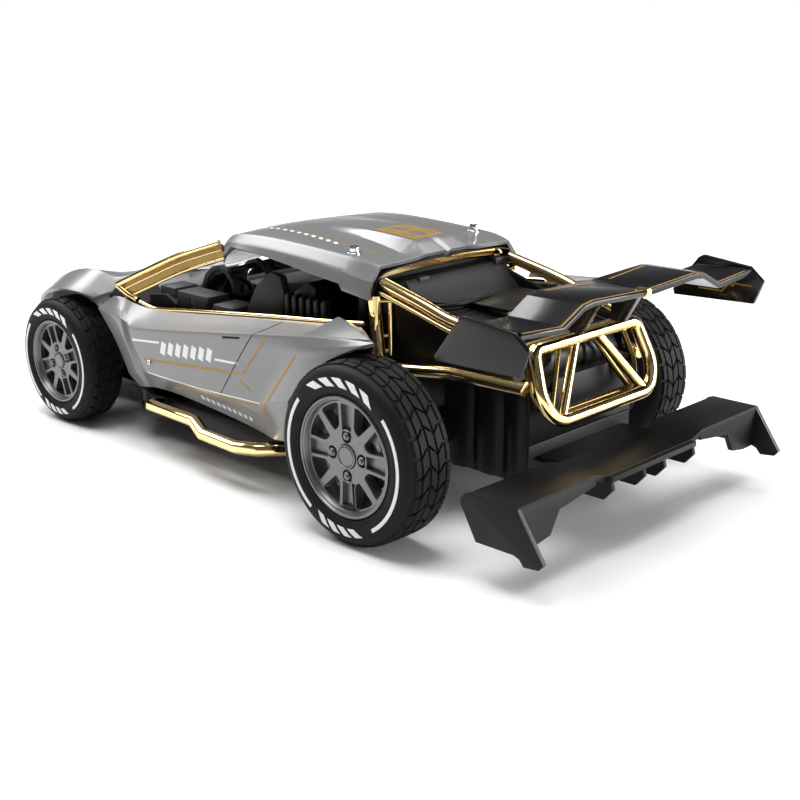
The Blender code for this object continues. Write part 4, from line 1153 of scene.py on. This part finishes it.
def engine_bay():
    """The slanted plate behind the cabin, the boxes, rods and ribs behind it and the panels at its sides."""
    plate = [(-38, -31, 90.5), (26, -31, 90.2), (27.5, -22, 83), (10, -19, 79.6), (-22, -18, 77),
             (-40, -20, 80)]
    depth = [(x, y - 2.2, z - 1.8) for x, y, z in plate]
    solid_between("bay_plate", plate + depth, [tuple(range(6)), tuple(range(11, 5, -1))] + [
        (k, 6 + k, 6 + (k + 1) % 6, (k + 1) % 6) for k in range(6)], "cabin_grey", bevel=0.6)
    blocks = (("bay_tab_left", (12, -34, 87), (19, -29, 90.5), "cabin_grey"),
              ("bay_tab_right", (-39, -34, 87.5), (-31, -29, 92), "cabin_grey"),
              ("bay_box", (-30, -14, 66), (6, 8, 79.4), "black_gloss"),
              ("bay_box_lid", (-31, -15, 79.6), (7, 9, 81), "black_plastic"),
              ("bay_box_small", (9, -16, 66), (20, -3, 77.5), "black_plastic"),
              ("bay_catch", (13, -2, 70), (15.5, 1, 75.5), "gold_chrome"),
              ("bay_step", (-30, 12, 66), (20, 26, 73.4), "black_plastic"))
    for name, low, high, slot in blocks:
        block(name, low, high, slot, bevel=0.8)
    for k, z in enumerate((78.5, 81)):
        rod = [(28, -20 + 3 * k, z), (14, -13 + 3 * k, z + 0.4), (-8, -16 + 3 * k, z + 0.4)]
        tube(f"bay_rod_{k}", smooth_path(rod, 5), 1.0, "black_plastic", sides=12)
    for k in range(5):
        block(f"bay_rib_{k}", (24, -14 + 5 * k, 68), (31, -11.6 + 5 * k, 75.4 - k * 0.8), "black_plastic",
              bevel=0.5)
    drum = [(0, -25), (7.5, -25), (8.6, -24), (8.6, -8), (7.6, -7.4), (7.6, 7.4), (8.6, 8), (8.6, 24),
            (7.5, 25), (0, 25)]
    rings = [across_ring(x, 30, 64, radius, 40) for radius, x in drum]
    shown("bay_drum", ringed_bmesh(rings), "black_plastic")
    for side, name in SIDE_NAMES.items():
        quarter = [(-30, 60), (-31.5, 88), (-20, 84.5), (8, 76), (36, 70), (36, 60)]
        prism(name + "_bay_side", "X", quarter, *sorted((side * 36.2, side * 38.2)), "black_plastic",
              bevel=0.5)
        for k, (y, radius) in enumerate(((8, 8.5), (24, 7.5), (37, 5))):
            outline = ((0, 21), (radius - 1.5, 21), (radius, 23), (radius, 54), (radius - 2, 57), (0, 57))
            rings = [ring_of(28 if r else 1, lambda a: at(side * (33.4 + 0.55 * r * math.cos(a)),
                                                          y + r * math.sin(a), z)) for r, z in outline]
            shown(f"{name}_case_rib_{k}", ringed_bmesh(rings), "black_plastic")
        sleeve = [(3.2, 34.5), (7.4, 34.5), (7.4, 50), (5.6, 52), (5.6, 62), (3.2, 62)]
        rings = [across_ring(side * x, 0, 36.4, radius, 32) for radius, x in sleeve]
        shown(name + "_axle_sleeve", ringed_bmesh(rings, "joined"), "black_plastic")


def wing_trim():
    """Gold pinstripes along the wing, the clip at its middle, and the marks on its end plates."""
    for side, name in SIDE_NAMES.items():
        panel = moulded(name + "_wing", "black_gloss", bevel=0.7, angle=20, segments=3)
        edge = [(side * 1.6, 70.2), (side * 34, 70.2), (side * 40, 70.2), (side * 51.5, 70.2),
                (side * 74, 70.2)]
        front = [(side * 5, 50), (side * 33, 47.5)]
        printed(name + "_wing_lines", panel, [(edge, 0.7), (front, 0.7)], "gold_print", "top")
        marks = slanted_bars((50, 85.2), (2.6, 0.0), 6, (2.4, 1.5), 0.9)
        zigzag = [([(47, 82.5), (58, 82.5), (62, 86.5), (72, 86.5)], 0.6)]
        bm = bmesh.new()
        for path, width in zigzag + marks:
            plate_strip(bm, path, width, side * 76.95, -side)
        shown(name + "_plate_lines", bm, "gold_print")
    block("wing_clip", (-1.6, 66.5, 94.2), (1.6, 72.2, 97.4), "gold_chrome", bevel=0.4)


def plate_strip(bm, path, width, x, way):
    """A thin bar along a path in a plane across the car, standing a little proud of it."""
    points = [Vector(p) for p in path]
    front, back = x + way * 0.12, x - way * 0.1
    rings = []
    for i, here in enumerate(points):
        across = mitre(points, i, width, 0.4)
        a, b = here + across, here - across
        rings.append([at(front, *a), at(front, *b), at(back, *b), at(back, *a)])
    ringed_bmesh(rings, "capped", bm)


# ---------------------------------------------------------------- start

FINISHES = paints()
SLOT_OF_NODE = {row["node"]: row["material_slot"] for row in frame["record"]["subparts"]}
KEPT_NODES = {"axle_gear", "motor_pinion", "reduction_gear", "tie_rod"}


def remaining_nodes():
    """The nodes that nothing stands for yet: rounded copies, or for the gears and tie rod a better finish."""
    for node, thing in frame["nodes"].items():
        if thing.hide_render:
            continue
        slot = SLOT_OF_NODE.get(node, "black_plastic")
        if node in KEPT_NODES:
            thing.data.materials.clear()
            thing.data.materials.append(FINISHES[slot])
        elif node == "diffuser":
            moulded(node, slot, bevel=0.6, segments=3)
        else:
            moulded(node, slot)


camera()
studio()
wheels()
for side in SIDE_NAMES:
    side_panel(side)
    gold_rails(side)
roof()
front_shell()
rear_frame()
window_bar()
cockpit()
engine_bay()
wing_trim()
remaining_nodes()
